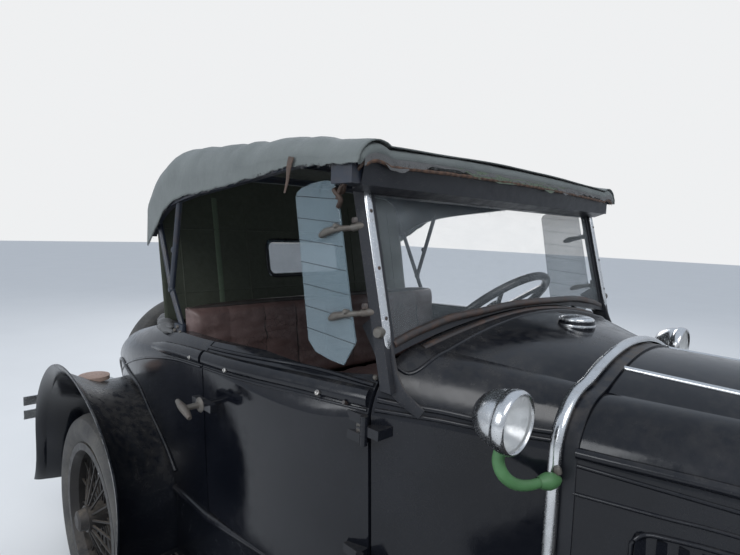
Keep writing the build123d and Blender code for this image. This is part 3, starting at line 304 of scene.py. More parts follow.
MATERIALS = {
    "black_paint": old_paint("black_enamel", (0.0035, 0.0042, 0.0065), (0.10, 0.09, 0.075), 0.22, (0.07,
        0.24),
                             dents=0.18),
    "fender_paint": old_paint("fender_enamel", (0.0035, 0.0045, 0.007), (0.15, 0.135, 0.11), 0.3, (0.08,
        0.30)),
    "chassis": dull_metal("chassis_black", (0.018, 0.018, 0.02)),
    "frame_black": old_paint("frame_black", (0.008, 0.009, 0.012), (0.2, 0.17, 0.14), 0.5, (0.25, 0.55),
        dents=0.1),
    "rusty_rail": dull_metal("rusty_rail", (0.022, 0.018, 0.017), (0.085, 0.045, 0.030), 0.55, (0.35, 0.7)),
    "bow_iron": dull_metal("bow_iron", (0.009, 0.013, 0.022), (0.06, 0.04, 0.03), 0.3, (0.3, 0.6)),
    "chrome": bright_metal("old_chrome", (0.66, 0.67, 0.68), (0.13, 0.33)),
    "dull_chrome": bright_metal("dull_chrome", (0.42, 0.41, 0.39), (0.3, 0.55), 0.7, 0.6),
    "grey_iron": dull_metal("worn_grey_iron", (0.075, 0.070, 0.062), (0.06, 0.035, 0.025), 0.45, (0.4, 0.7),
        0.3),
    "brass_core": dull_metal("radiator_core_brass", (0.09, 0.075, 0.045), (0.05, 0.07, 0.05), 0.5,
        metallic=0.6),
    "engine": dull_metal("engine_green_iron", (0.035, 0.05, 0.04), (0.07, 0.045, 0.03), 0.6),
    "glass": window_glass("plate_glass", (0.55, 0.62, 0.66), 0.05, 0.05),
    # wind wing and rear window glass: the blue-grey tint and haze colour, with alpha 0.42, are a painted
    # reflection of sky and siding on what is clear glass
    "wing_glass_painted_reflection": window_glass("wing_glass_painted_reflection", (0.17, 0.235, 0.27), 0.06, 0.42, haze_colour=(0.26, 0.31, 0.33)),
    "headlamp_glass": window_glass("headlamp_glass", (0.80, 0.82, 0.82), 0.1, 0.75, 0.08),
    "red_lens": window_glass("tail_lens", (0.35, 0.015, 0.012), 0.05, 0.85, 0.08, haze_colour=(0.25, 0.05,
        0.04)),
    "lens": window_glass("lamp_lens", (0.86, 0.88, 0.88), 0.1, 0.42, 0.1),
    "top": top_fabric("top_cloth", (0.070, 0.084, 0.083), (0.19, 0.21, 0.205), fade=0.75),
    "lining": top_fabric("olive_lining", (0.030, 0.036, 0.024), (0.055, 0.065, 0.042), fade=0.6),
    "under_green": top_fabric("green_underlayer", (0.055, 0.085, 0.052), (0.12, 0.15, 0.10), fade=0.6),
    "boot": top_fabric("boot_grey_cloth", (0.05, 0.052, 0.055), (0.16, 0.16, 0.16), fade=0.7),
    "seat": cracked_leather("faded_leatherette", (0.098, 0.060, 0.055), (0.062, 0.037, 0.034), (0.16, 0.115,
        0.105)),
    "seat_rim": cracked_leather("dark_seat_rim", (0.022, 0.017, 0.015), (0.012, 0.010, 0.009), (0.05, 0.04,
        0.035)),
    "strap": cracked_leather("brown_strap", (0.07, 0.04, 0.026), (0.035, 0.02, 0.014), (0.15, 0.1, 0.07), 90),
    "tyre": rubber("tyre_rubber"),
    "pad": rubber("step_pad_rubber", (0.30, 0.20, 0.165), (0.42, 0.33, 0.28), 0.7),
    "wheel": old_paint("wheel_enamel", (0.012, 0.011, 0.011), (0.19, 0.16, 0.13), 0.75, (0.35, 0.6),
        dents=0.05),
    "rim_black": old_paint("steering_rim", (0.008, 0.008, 0.009), (0.12, 0.1, 0.08), 0.3, (0.2, 0.4),
        dents=0.05),
    "wood": old_wood("old_wood", (0.10, 0.055, 0.035), (0.05, 0.027, 0.018)),
    "green_paint": old_paint("green_arm", (0.050, 0.125, 0.050), (0.10, 0.12, 0.08), 0.3, (0.35, 0.55),
        dents=0.05),
}

NODE_LOOKS = {
    "fender_paint": ("front_fenders", "rear_fenders", "running_boards"),
    "chassis": ("chassis_frame", "front_axle", "rear_axle", "springs", "knuckle_left", "knuckle_right",
        "tie_rod",
                "spare_carrier", "exhaust", "floor_controls", "steering_column"),
    "frame_black": ("windshield_frame", "windshield_posts", "dash_panel"),
    "bow_iron": ("top_bows",),
    "chrome": ("cowl_band", "radiator_shell", "front_bumper", "rear_bumpers", "headlamps", "cowl_lamps",
        "tail_lamp"),
    "brass_core": ("radiator_core",),
    "engine": ("engine",),
    "glass": ("windshield_glass",),
    # wind wings and rear window take the glass whose blue-grey tint is a painted reflection
    "wing_glass_painted_reflection": ("wind_wings", "rear_window"),
    "top": ("top_cover", "rear_curtain"),
    "seat": ("seat_cushion", "seat_back", "rumble_seat_cushion", "rumble_seat_back"),
    "pad": ("step_pad",),
    "rim_black": ("steering_wheel",),
}
looks = {node: look for look, names in NODE_LOOKS.items() for node in names}


def dress(obj, key):
    """Gives a solid its finish."""
    obj.data.materials.clear()
    obj.data.materials.append(MATERIALS[key])


for node_name, obj in NODES.items():
    key = looks.get(node_name, "black_paint")
    if node_name.startswith("tyre_"):
        key = "tyre"
    elif node_name.startswith("wheel_"):
        key = "wheel"
    dress(obj, key)


SIDES = ((-1, "right"), (1, "left"))
# where rays that look for the side or the top of the body start
BESIDE, ABOVE = 1.3, 2.5


class Piece:
    """One mesh object put together from several shapes, each with its own finish."""

    def __init__(self, name, body="chassis"):
        self.name, self.body = name, body
        self.verts, self.faces, self.looks, self.marks = [], [], [], []

    def add(self, shape, look):
        verts, faces = shape
        base = len(self.verts)
        if look not in self.looks:
            self.looks.append(look)
        self.verts += [tuple(v) for v in verts]
        self.faces += [tuple(base + i for i in f) for f in faces]
        self.marks += [self.looks.index(look)] * len(faces)
        return self

    def make(self, angle=40, replaces=(), thick=0.0):
        mesh = bpy.data.meshes.new(self.name)
        mesh.from_pydata(self.verts, [], self.faces)
        mesh.polygons.foreach_set("material_index", self.marks)
        bm = bmesh.new()
        bm.from_mesh(mesh)
        bmesh.ops.remove_doubles(bm, verts=bm.verts, dist=1e-6)
        bmesh.ops.recalc_face_normals(bm, faces=bm.faces)
        bm.to_mesh(mesh)
        bm.free()
        obj = bpy.data.objects.new(self.name, mesh)
        SCENE.collection.objects.link(obj)
        for look in self.looks:
            mesh.materials.append(MATERIALS[look])
        if thick:
            mod = obj.modifiers.new("thick", "SOLIDIFY")
            mod.thickness, mod.offset = thick, -1
            shown = obj.evaluated_get(bpy.context.evaluated_depsgraph_get())
            applied = bpy.data.meshes.new_from_object(shown)
            obj.modifiers.clear()
            obj.data = applied
            mesh = applied
            mesh.name = self.name
        mesh.polygons.foreach_set("use_smooth", [True] * len(mesh.polygons))
        if angle < 180:
            mesh.set_sharp_from_angle(angle=math.radians(angle))
        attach(obj, self.body)
        if replaces:
            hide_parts(*replaces)
        return obj


def frame_of(direction, hint=(0, 0, 1)):
    """The direction as a unit vector, and two more at right angles to it."""
    d = Vector(direction).normalized()
    side = d.cross(Vector(hint))
    if side.length < 1e-4:
        side = d.cross(Vector((1, 0, 0)))
    side.normalize()
    return d, side, side.cross(d)


def rounded(points, steps=6):
    """A smooth line through the points, Catmull-Rom."""
    pts = [Vector(p) for p in points]
    ends = [2 * pts[0] - pts[1]] + pts + [2 * pts[-1] - pts[-2]]
    out = []
    for a, b, c, d in zip(ends, ends[1:], ends[2:], ends[3:]):
        for k in range(steps):
            t = k / steps
            out.append(0.5 * ((2 * b) + (c - a) * t + (2 * a - 5 * b + 4 * c - d) * t * t
                + (3 * b - a - 3 * c + d) * t ** 3))
    return out + [pts[-1]]


def sweep(points, section, outs=None, closed=False, scales=None):
    """Sweeps a closed section of (side, out) points along a line; outs are the outward directions."""
    pts = [Vector(p) for p in points]
    count, m = len(pts), len(section)
    verts, faces = [], []
    up = None
    for i, p in enumerate(pts):
        a = pts[i - 1] if i or closed else p
        b = pts[(i + 1) % count] if i < count - 1 or closed else p
        d = (b - a).normalized()
        if outs is not None:
            up = Vector(outs[i]) if not isinstance(outs, Vector) else outs
        elif up is None:
            up = frame_of(d)[2]
        side = d.cross(up).normalized()
        up = side.cross(d).normalized()
        k = scales[i] if scales else 1.0
        verts += [p + side * (u * k) + up * (v * k) for u, v in section]
    rings = count if closed else count - 1
    for i in range(rings):
        j = (i + 1) % count
        for k in range(m):
            l = (k + 1) % m
            faces.append((i * m + k, i * m + l, j * m + l, j * m + k))
    if not closed:
        faces += [tuple(range(m)), tuple(reversed(range((count - 1) * m, count * m)))]
    return verts, faces


def circle(radius, sides=12, flat=1.0):
    return [(radius * math.cos(2 * math.pi * k / sides), radius * flat * math.sin(2 * math.pi * k / sides))
        for k in range(sides)]


def half_round(width, height, sides=8, foot=0.001):
    arc = [(width / 2 * math.cos(math.pi * k / sides), height * math.sin(math.pi * k / sides))
        for k in range(sides + 1)]
    return arc + [(-width / 2, -foot), (width / 2, -foot)]


def tube(points, radius, sides=12, scales=None, closed=False):
    return sweep(points, circle(radius, sides), closed=closed, scales=scales)


def revolve(profile, origin, axis, segments=32):
    """Profile of (radius, height) pairs turned about an axis."""
    d, side, up = frame_of(axis, (0.13, 0.31, 0.94))
    verts, faces = [], []
    for r, h in profile:
        for k in range(segments):
            b = 2 * math.pi * k / segments
            verts.append(Vector(origin) + d * h + side * (r * math.cos(b)) + up * (r * math.sin(b)))
    for i in range(len(profile) - 1):
        for k in range(segments):
            l = (k + 1) % segments
            faces.append((i * segments + k, i * segments + l, (i + 1) * segments + l, (i + 1) * segments + k))
    return verts, faces


def block(centre, size, turn=(0, 0, 0), bevel=0.0015):
    """A box with bevelled edges."""
    bm = bmesh.new()
    bmesh.ops.create_cube(bm, size=1.0)
    bmesh.ops.scale(bm, vec=size, verts=bm.verts)
    bmesh.ops.bevel(bm, geom=list(bm.edges), offset=min(bevel, min(size) * 0.45), segments=2, affect="EDGES",
        profile=0.6)
    place = Matrix.Translation(centre) @ (Matrix.Rotation(turn[2], 4, "Z") @ Matrix.Rotation(turn[1], 4,
        "Y") @ Matrix.Rotation(turn[0], 4, "X"))
    bmesh.ops.transform(bm, matrix=place, verts=bm.verts)
    shape = [v.co.copy() for v in bm.verts], [tuple(v.index for v in f.verts) for f in bm.faces]
    bm.free()
    return shape


def plate(outline, origin, across, out, thick, bevel=0.0015):
    """A flat plate of an outline in (along, up) coordinates, its edge bevelled."""
    n_ = Vector(out).normalized()
    u = Vector(across).normalized()
    v = n_.cross(u)
    bm = bmesh.new()
    low = [bm.verts.new(Vector(origin) + u * a + v * b) for a, b in outline]
    face = bm.faces.new(low)
    grown = bmesh.ops.extrude_face_region(bm, geom=[face])
    bmesh.ops.translate(bm, vec=n_ * thick, verts=[g for g in grown["geom"]
        if isinstance(g, bmesh.types.BMVert)])
    bm.verts.index_update()
    rim = [e for e in bm.edges if len(e.link_faces) == 2 and e.calc_face_angle(0) > 0.6]
    bmesh.ops.bevel(bm, geom=rim, offset=min(bevel, thick * 0.4), segments=2, affect="EDGES", profile=0.6)
    bm.verts.index_update()
    shape = [w.co.copy() for w in bm.verts], [tuple(w.index for w in f.verts) for f in bm.faces]
    bm.free()
    return shape


def grid(function, nu, nv):
    """Faces of a surface given as a function of u and v, each 0 to 1."""
    verts = [function(i / nu, j / nv) for i in range(nu + 1) for j in range(nv + 1)]
    faces = [(i * (nv + 1) + j, i * (nv + 1) + j + 1, (i + 1) * (nv + 1) + j + 1, (i + 1) * (nv + 1) + j)
        for i in range(nu) for j in range(nv)]
    return verts, faces


def arc3(a, b, c, steps):
    """Points of the arc through a, b and c, in a plane of two coordinates."""
    (ax, ay), (bx, by), (cx, cy) = a, b, c
    d = 2 * (ax * (by - cy) + bx * (cy - ay) + cx * (ay - by))
    if abs(d) < 1e-9:
        return [(ax + (cx - ax) * k / steps, ay + (cy - ay) * k / steps) for k in range(steps + 1)]
    ux = ((ax * ax + ay * ay) * (by - cy) + (bx * bx + by * by) * (cy - ay) + (cx * cx + cy * cy)
        * (ay - by)) / d
    uy = ((ax * ax + ay * ay) * (cx - bx) + (bx * bx + by * by) * (ax - cx) + (cx * cx + cy * cy)
        * (bx - ax)) / d
    r = math.hypot(ax - ux, ay - uy)
    a0, a1, a2 = (math.atan2(y - uy, x - ux) for x, y in (a, b, c))
    while a1 < a0:
        a1 += 2 * math.pi
    while a2 < a0:
        a2 += 2 * math.pi
    if a2 < a1:
        a2 -= 2 * math.pi
    return [(ux + r * math.cos(a0 + (a2 - a0) * k / steps), uy + r * math.sin(a0 + (a2 - a0) * k / steps))
        for k in range(steps + 1)]


def tree_of(*names):
    """The solids of these nodes as one tree to cast rays at."""
    verts, faces = [], []
    for name in names:
        mesh = NODES[name].data
        base = len(verts)
        verts += [v.co.copy() for v in mesh.vertices]
        faces += [tuple(base + i for i in p.vertices) for p in mesh.polygons]
    return BVHTree.FromPolygons(verts, faces)


def cast(tree, origin, direction):
    """Place and outward normal where a ray meets the surface, or the nearest place if it misses."""
    place, normal, _, _ = tree.ray_cast(Vector(origin), Vector(direction).normalized())
    if place is None:
        place, normal, _, _ = tree.find_nearest(Vector(origin))
    if normal.dot(Vector(direction)) > 0:
        normal = -normal
    return place, normal


def side_line(tree, points, s, steps=5):
    """A line of (y, z) points laid on the side surface: places and outward normals."""
    dense = rounded([(0, y, z) for y, z in points], steps)
    hits = [cast(tree, (s * BESIDE, p.y, p.z), (-s, 0, 0)) for p in dense]
    return [h[0] for h in hits], [h[1] for h in hits]


def bead(piece, tree, points, s, width, height, steps=8, sides=8, lift=0.0):
    """A half-round bead along (y, z) points of the side surface, in the body's black."""
    pts, outs = side_line(tree, points, s, steps)
    if lift:
        pts = [p + n_ * lift for p, n_ in zip(pts, outs)]
    piece.add(sweep(pts, half_round(width, height, sides), outs), "black_paint")


def top_line(tree, points, steps=5):
    """A line of (x, y) points laid on the upper surface."""
    dense = rounded([(x, y, 0) for x, y in points], steps)
    hits = [cast(tree, (p.x, p.y, ABOVE), (0, 0, -1)) for p in dense]
    return [h[0] for h in hits], [h[1] for h in hits]


def across(half, middle):
    """Points of one side, the middle one, and the same points mirrored."""
    return half + [middle] + [(-p[0], *p[1:]) for p in reversed(half)]


def ease(t):
    """0 to 1 with a soft start and end."""
    t = max(0.0, min(1.0, t))
    return t * t * (3 - 2 * t)


def along(rows, y):
    """Smooth interpolation of a table whose first column is y."""
    rows = sorted(rows)
    if y <= rows[0][0]:
        return rows[0][1:]
    if y >= rows[-1][0]:
        return rows[-1][1:]
    i = max(k for k in range(len(rows)) if rows[k][0] <= y)
    a, b = rows[i], rows[i + 1]
    p = rows[i - 1] if i else a
    q = rows[i + 2] if i + 2 < len(rows) else b
    span = b[0] - a[0]
    t = (y - a[0]) / span
    out = []
    for k in range(1, len(a)):
        ma = (b[k] - p[k]) / (b[0] - p[0]) * span
        mb = (q[k] - a[k]) / (q[0] - a[0]) * span
        out.append((2 * t ** 3 - 3 * t ** 2 + 1) * a[k] + (t ** 3 - 2 * t ** 2 + t) * ma
            + (3 * t ** 2 - 2 * t ** 3) * b[k] + (t ** 3 - t ** 2) * mb)
    return out


def wobble(x, y, z, scale=1.0):
    return noise.noise(Vector((x, y, z)) * scale)


# top cover
# y, half width, valance z, corner z, shoulder mid x, z, shoulder end x, z, crown z
ROOF = [
    (-0.150, 0.628, 1.534, 1.545, 0.618, 1.560, 0.540, 1.572, 1.582),
    (0.090, 0.630, 1.538, 1.556, 0.618, 1.582, 0.520, 1.598, 1.612),
    (0.370, 0.630, 1.508, 1.548, 0.616, 1.590, 0.510, 1.615, 1.630),
    (0.620, 0.629, 1.486, 1.545, 0.612, 1.598, 0.500, 1.634, 1.650),
    (0.720, 0.627, 1.452, 1.538, 0.608, 1.594, 0.500, 1.636, 1.653),
    (0.820, 0.618, 1.388, 1.502, 0.600, 1.560, 0.496, 1.606, 1.624),
    (0.905, 0.608, 1.332, 1.452, 0.590, 1.506, 0.492, 1.560, 1.580),
]
BOWS = (-0.10, 0.112, 0.40, 0.70, 0.862)
ROOF_STEPS = 9
CLEAR_OF_BOWS = 0.004
LINING_BELOW = 0.0045
CLOTH = 0.0025


def roof_section(y):
    w, zb, zs, mx, mz, tx, tz, zt = along(ROOF, y)
    line = [(-w, zb + (zs - zb) * k / ROOF_STEPS) for k in range(ROOF_STEPS)]
    line += arc3((-w, zs), (-mx, mz), (-tx, tz), ROOF_STEPS)[:-1]
    line += arc3((-tx, tz), (0, zt), (tx, tz), 34)
    line += arc3((tx, tz), (mx, mz), (w, zs), ROOF_STEPS)[1:]
    return line + [(w, zs - (zs - zb) * (k + 1) / ROOF_STEPS) for k in range(ROOF_STEPS)]


def roof_height(x, y):
    """Height of the cloth over a point of the plan."""
    line = roof_section(y)
    for (x0, z0), (x1, z1) in zip(line, line[1:]):
        if x1 - x0 > 1e-6 and x0 <= x <= x1:
            return z0 + (z1 - z0) * (x - x0) / (x1 - x0)
    return line[0][1]


def between_bows(y):
    """0 over a bow, up to 1 midway between two."""
    for a, b in zip(BOWS, BOWS[1:]):
        if a <= y <= b:
            return math.sin(math.pi * (y - a) / (b - a)) ** 2 * min(1.0, (b - a) / 0.25)
    return 0.0


def roof_point(section, index, y, inset=0.0):
    """A point of the cloth, with its sag, folds and uneven valance; inset moves it inward."""
    x, z = section[index]
    count = len(section)
    edge = min(index, count - 1 - index)
    side = -1 if index < count / 2 else 1
    hang = max(0.0, 1 - edge / ROOF_STEPS)
    z -= 0.007 * between_bows(y) * ease((edge - ROOF_STEPS) / 12)
    folds = 0.0030 * wobble(x * 2.2, y * 5, 3.1, 2.0) + 0.0016 * wobble(x * 3, y * 22, 1.7)
    pull = 0.0026 * math.sin(y * 46 + 9 * x) * ease((abs(x) - 0.40) / 0.18) * (0.4 + between_bows(y))
    x += side * (0.004 * hang * wobble(y * 9, side, 0.4) + 0.5 * folds * hang)
    z += folds * (1 - hang) + pull * (1 - hang)
    if hang > 0.86:
        z += 0.0055 * wobble(y * 26, side * 2.0, 7.7) + 0.003 * wobble(y * 90, side, 2.2)
    z += CLEAR_OF_BOWS * (1 - hang)
    x += side * CLEAR_OF_BOWS / 2 * ease(hang)
    if inset:
        n_edge = 1 - ease((edge - ROOF_STEPS + 1) / 6)
        x -= side * inset * n_edge
        z -= inset * (1 - n_edge)
    return Vector((x, y, z))


ROOF_FRONT, ROOF_LENGTH, ROOF_ROWS = -0.150, 1.055, 116
ROOF_Y = [ROOF_FRONT + ROOF_LENGTH * k / ROOF_ROWS for k in range(ROOF_ROWS + 1)]


def roof_edge(index, count):
    """The front edge, a little uneven where it turns over the header."""
    return 0.003 * wobble(index / (count - 1) * 60, 2, 3)


def top_cover():
    """The cloth over the bows, and the lining that is seen from inside."""
    piece = Piece("top_cloth")
    sections = [roof_section(y) for y in ROOF_Y]
    m = len(sections[0])
    verts = []
    for i, (y, section) in enumerate(zip(ROOF_Y, sections)):
        for k in range(m):
            verts.append(roof_point(section, k, y))
            if i == 0:
                verts[-1].y += max(0.0, roof_edge(k, m))
    faces = [(i * m + k, i * m + k + 1, (i + 1) * m + k + 1, (i + 1) * m + k) for i in range(len(ROOF_Y) - 1)
        for k in range(m - 1)]
    piece.add((verts, faces), "top")
    obj = piece.make(angle=180, thick=CLOTH, replaces=("top_cover",))
    inner = Piece("top_lining")
    verts = [roof_point(section, k, y, LINING_BELOW) for y, section in zip(ROOF_Y[6:-1:2], sections[6:-1:2])
        for k in range(ROOF_STEPS + 3, m - ROOF_STEPS - 3)]
    n_ = m - 2 * ROOF_STEPS - 6
    rows = len(verts) // n_
    inner.add((verts, [(i * n_ + k, i * n_ + k + 1, (i + 1) * n_ + k + 1, (i + 1) * n_ + k)
        for i in range(rows - 1) for k in range(n_ - 1)]), "lining")
    inner.make(angle=180)


VALANCE_THREADS, HEADER_THREADS = 150, 170


def frayed_edge():
    """Pale threads along the valance and the header's hem."""
    piece = Piece("frayed_threads")
    for s in (-1, 1):
        for _ in range(VALANCE_THREADS):
            y = rng.uniform(-0.14, 0.90)
            w, zb = along(ROOF, y)[:2]
            size = rng.uniform(0.003, 0.011) * (1.6 if rng.random() < 0.1 else 1)
            base = Vector((s * (w + 0.0005), y, zb + 0.003))
            tip = base + Vector((s * rng.uniform(-0.003, 0.003), rng.uniform(-0.007, 0.007), -size))
            piece.add(tube([base, (base + tip) / 2 + Vector((0, rng.uniform(-0.002, 0.002), 0)), tip],
                0.00055, 4, [1, 0.8, 0.3]), "boot")
    for _ in range(HEADER_THREADS):
        x = rng.uniform(-0.60, 0.60)
        base = Vector((x, -0.149, roof_height(x, -0.150) - 0.028 + rng.uniform(-0.004, 0.004)))
        tip = base + Vector((rng.uniform(-0.008, 0.008), rng.uniform(-0.001, 0.001),
            -rng.uniform(0.004, 0.013)))
        piece.add(tube([base, (base + tip) / 2, tip], 0.0005, 4, [1, 0.8, 0.3]), "boot")
    piece.make()


HEADER_RADIUS = 0.0145


def header_face():
    """The cloth rolled over the header, its torn hem, rust line and green underlayer."""
    piece = Piece("header_roll")
    r = HEADER_RADIUS

    def middle(x):
        return roof_height(max(-0.617, min(0.617, x)), -0.150) - r * 0.98

    def roll(u, v):
        x = -0.624 + 1.248 * u
        b = math.pi * (0.42 + 1.10 * v)
        fat = r * (1 + 0.10 * wobble(x * 9, v * 2, 1) + 0.05 * wobble(x * 40, v * 5, 4)) * ease(min(u, 1 - u)
            / 0.012 + 0.35)
        return Vector((x, -0.1355 + fat * math.cos(b), middle(x) + fat * math.sin(b)))

    piece.add(grid(roll, 150, 16), "top")

    def hem(u, v):
        x = -0.612 + 1.224 * u
        torn = max(0.0, 0.55 + 1.3 * wobble(x * 11, 0.5, 8.0) + 0.5 * wobble(x * 47, 0.5, 3.0))
        z = middle(x) - 0.006 - v * (0.005 + 0.013 * torn)
        return Vector((x, -0.1490 + 0.0015 * wobble(x * 20, v * 3, 2), z))

    piece.add(grid(hem, 260, 5), "boot")

    def patch(u, v):
        x = -0.34 + 0.60 * u
        deep = 0.022 * ease(min(u, 1 - u) / 0.2) * (0.8 + 0.5 * wobble(x * 18, 0.2, 6.0))
        return Vector((x, -0.1478 + 0.001 * wobble(x * 30, v * 4, 1), middle(x) - 0.006 - v * deep))

    piece.add(grid(patch, 160, 6), "under_green")
    piece.make(angle=60, thick=0.0010)
    trim = Piece("header_fascia")
    rust = [Vector((x, -0.1455, middle(x) - r - 0.007 + 0.0012 * wobble(x * 30, 1, 1)))
        for x in [-0.606 + 1.212 * k / 90 for k in range(91)]]
    trim.add(tube(rust, 0.0042, 8, [1 + 0.35 * wobble(k * 0.7, 2, 2) for k in range(91)]), "wood")

    def fascia(u, v):
        x = -0.600 + 1.200 * u
        top = middle(x) - r - 0.002
        if v < 0.25:
            return Vector((x, -0.093 - 0.136 * v, 1.486 + 0.048 * v))
        k = (v - 0.25) / 0.75
        return Vector((x, -0.127 - 0.010 * k, 1.498 + (top - 1.498) * k))

    trim.add(grid(fascia, 60, 12), "frame_black")
    trim.make(angle=40)


def hanging_bits():
    """A strip of torn binding over the wing, and a twist of it at the near post."""
    piece = Piece("hanging_tag")
    line = [(-0.634, 0.055, 1.560), (-0.637, 0.060, 1.538), (-0.634, 0.068, 1.512), (-0.637, 0.074, 1.484)]
    section = [(-0.010, -0.001), (0.010, -0.001), (0.011, 0.001), (-0.009, 0.001)]
    pts = rounded(line, 6)
    piece.add(sweep(pts, section, outs=Vector((-1, 0.1, 0)),
        scales=[1.0 - 0.65 * ease(k / len(pts)) for k in range(len(pts))]), "strap")
    cord = [(-0.600, -0.145, 1.556), (-0.604, -0.132, 1.535), (-0.606, -0.105, 1.512),
        (-0.608, -0.078, 1.494), (-0.607, -0.066, 1.470)]
    piece.add(tube(rounded(cord, 8), 0.0042, 8), "strap")
    knot = [(-0.605, -0.085, 1.502), (-0.598, -0.070, 1.485), (-0.610, -0.060, 1.488),
        (-0.606, -0.075, 1.470), (-0.600, -0.062, 1.455)]
    piece.add(tube(rounded(knot, 8), 0.0055, 8, None), "strap")
    piece.make()


# rear curtain
CURTAIN_BASE, CURTAIN_TOP = (0.792, 1.090), (0.8895, 1.575)
CURTAIN_HALF, CURTAIN_COLUMNS, CURTAIN_ROWS = 0.596, 96, 100
# half width, lower and upper edge of the window
WINDOW = (0.180, 1.225, 1.360)


def curtain_point(x, z, lift=0.0):
    (y0, z0), (y1, z1) = CURTAIN_BASE, CURTAIN_TOP
    y = y0 + (y1 - y0) * (z - z0) / (z1 - z0)
    soft = 0.004 * wobble(x * 5, 0, z * 4) + 0.002 * math.sin(x * 30) * ease((1.24 - z) / 0.12)
    near = ease((abs(x) - 0.21) / 0.08) if 1.19 < z < 1.40 else 1.0
    return Vector((x, y + soft * near + lift, z))


def rear_curtain():
    """The curtain with its window cut out, the window's frame, seams and tapes."""
    piece = Piece("curtain_cloth")
    columns = [-CURTAIN_HALF + 2 * CURTAIN_HALF * k / CURTAIN_COLUMNS for k in range(CURTAIN_COLUMNS + 1)]
    half, low, high = WINDOW
    verts = []
    for x in columns:
        top = roof_height(x, 0.887) - 0.006
        foot = CURTAIN_BASE[1]
        verts += [curtain_point(x, foot + (top - foot) * j / CURTAIN_ROWS) for j in range(CURTAIN_ROWS + 1)]
    faces = []
    m = CURTAIN_ROWS + 1
    for i in range(CURTAIN_COLUMNS):
        for j in range(CURTAIN_ROWS):
            ids = (i * m + j, (i + 1) * m + j, (i + 1) * m + j + 1, i * m + j + 1)
            mid = sum((verts[k] for k in ids), Vector()) / 4
            inside = abs(mid.x) < half - 0.006 and low + 0.004 < mid.z < high - 0.004
            corner = (abs(mid.x) > half - 0.03 and (mid.z < low + 0.03 or mid.z > high - 0.03)
                and math.hypot(abs(mid.x) - (half - 0.03),
                max(low + 0.03 - mid.z, mid.z - high + 0.03)) > 0.026)
            if not inside or corner:
                faces.append(ids)
    piece.add((verts, faces), "lining")
    obj = piece.make(angle=180, thick=0.002, replaces=("rear_curtain",))
    trim = Piece("curtain_trim")
    r = 0.03
    ring = []
    for cx, cz, a0 in ((half - r, high - r, 0), (-half + r, high - r, 90), (-half + r, low + r, 180),
            (half - r, low + r, 270)):
        for k in range(7):
            b = math.radians(a0 + 15 * k)
            ring.append(curtain_point(cx + r * math.cos(b), cz + r * math.sin(b), -0.003))
    trim.add(sweep(ring, half_round(0.016, 0.004), outs=Vector((0, -1, 0.2)), closed=True), "frame_black")
    ring_out = [p + Vector((0, 0.008, 0)) for p in ring]
    trim.add(sweep(ring_out, half_round(0.016, 0.004), outs=Vector((0, 1, -0.2)), closed=True), "frame_black")
    for x, wide, look in ((-0.385, 0.020, "under_green"), (0.385, 0.020, "under_green"),
            (-0.265, 0.004, "lining"), (0.265, 0.004, "lining"), (-0.52, 0.004, "lining"),
            (0.52, 0.004, "lining")):
        line = [curtain_point(x, 1.10 + 0.0215 * k, -0.0022) for k in range(20)]
        trim.add(sweep(line, half_round(wide, 0.0022), outs=Vector((0, -1, 0.2))), look)
    for z in (1.395, 1.18):
        line = [curtain_point(-0.58 + 0.029 * k, z, -0.002) for k in range(41)]
        trim.add(sweep(line, half_round(0.004, 0.002), outs=Vector((0, -1, 0.2))), "lining")
    trim.make()


# seats


def pad_surface(corner, along_u, along_v, out, nu, nv, pleats, height, look, name, node, roll=0.02,
        body="chassis"):
    """A sewn pad: crowned between its seams, rounded off at all four sides, closed at the back."""
    piece = Piece(name, body)
    o, u_, v_, n_ = Vector(corner), Vector(along_u), Vector(along_v), Vector(out)

    def front(u, v):
        edge = min(u * u_.length, (1 - u) * u_.length, v * v_.length, (1 - v) * v_.length)
        crown = (1 - (1 - min(1, edge / roll)) ** 2) ** 0.5
        wave_ = abs(math.sin(math.pi * pleats * u)) ** 0.4
        seam_depth = 0.78 + 0.22 * wave_
        soft = 1 + 0.12 * wobble(u * 5, v * 4, 2.0) + 0.06 * wobble(u * 16, v * 13, 4.0)
        sag = -0.010 * math.exp(-((u - 0.27) ** 2 + (v - 0.5) ** 2) * 14) - 0.010 * math.exp(
            -((u - 0.73) ** 2 + (v - 0.5) ** 2) * 14)
        return o + u_ * u + v_ * v + n_ * (height * crown * seam_depth * soft + sag * crown)

    piece.add(grid(front, nu, nv), look)
    piece.add(([o, o + u_, o + u_ + v_, o + v_], [(0, 1, 2, 3)]), look)
    obj = piece.make(angle=180, replaces=(node,))
    return front


def stuffed(node, name, body="chassis", pleat=0.11):
    """A cushion grown from its solid: corners rounded, pleats pressed along its length."""
    source = NODES[node]
    mesh = source.data.copy()
    mesh.transform(source.matrix_world)
    obj = bpy.data.objects.new(name, mesh)
    SCENE.collection.objects.link(obj)
    remesh = obj.modifiers.new("even", "REMESH")
    remesh.mode, remesh.voxel_size = "VOXEL", 0.010
    smooth = obj.modifiers.new("soft", "SMOOTH")
    smooth.factor, smooth.iterations = 0.5, 14
    bpy.context.view_layer.update()
    made = bpy.data.meshes.new_from_object(obj.evaluated_get(bpy.context.evaluated_depsgraph_get()))
    obj.modifiers.clear()
    obj.data = made
    made.name = name
    normals = [v.normal.copy() for v in made.vertices]
    low = min(v.co.z for v in made.vertices)
    for v, n_ in zip(made.vertices, normals):
        x, y, z = v.co
        seam = 1 - abs(math.sin(math.pi * x / pleat)) ** 0.5
        face = ease((abs(n_.z) + abs(n_.y)) * 0.8)
        v.co -= n_ * (0.006 * seam * face + 0.002 * wobble(x * 9, y * 9, z * 9)) * (1 if z > low + 0.02
            else 0)
    made.materials.clear()
    made.materials.append(MATERIALS["seat"])
    made.polygons.foreach_set("use_smooth", [True] * len(made.polygons))
    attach(obj, body)
    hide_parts(node)


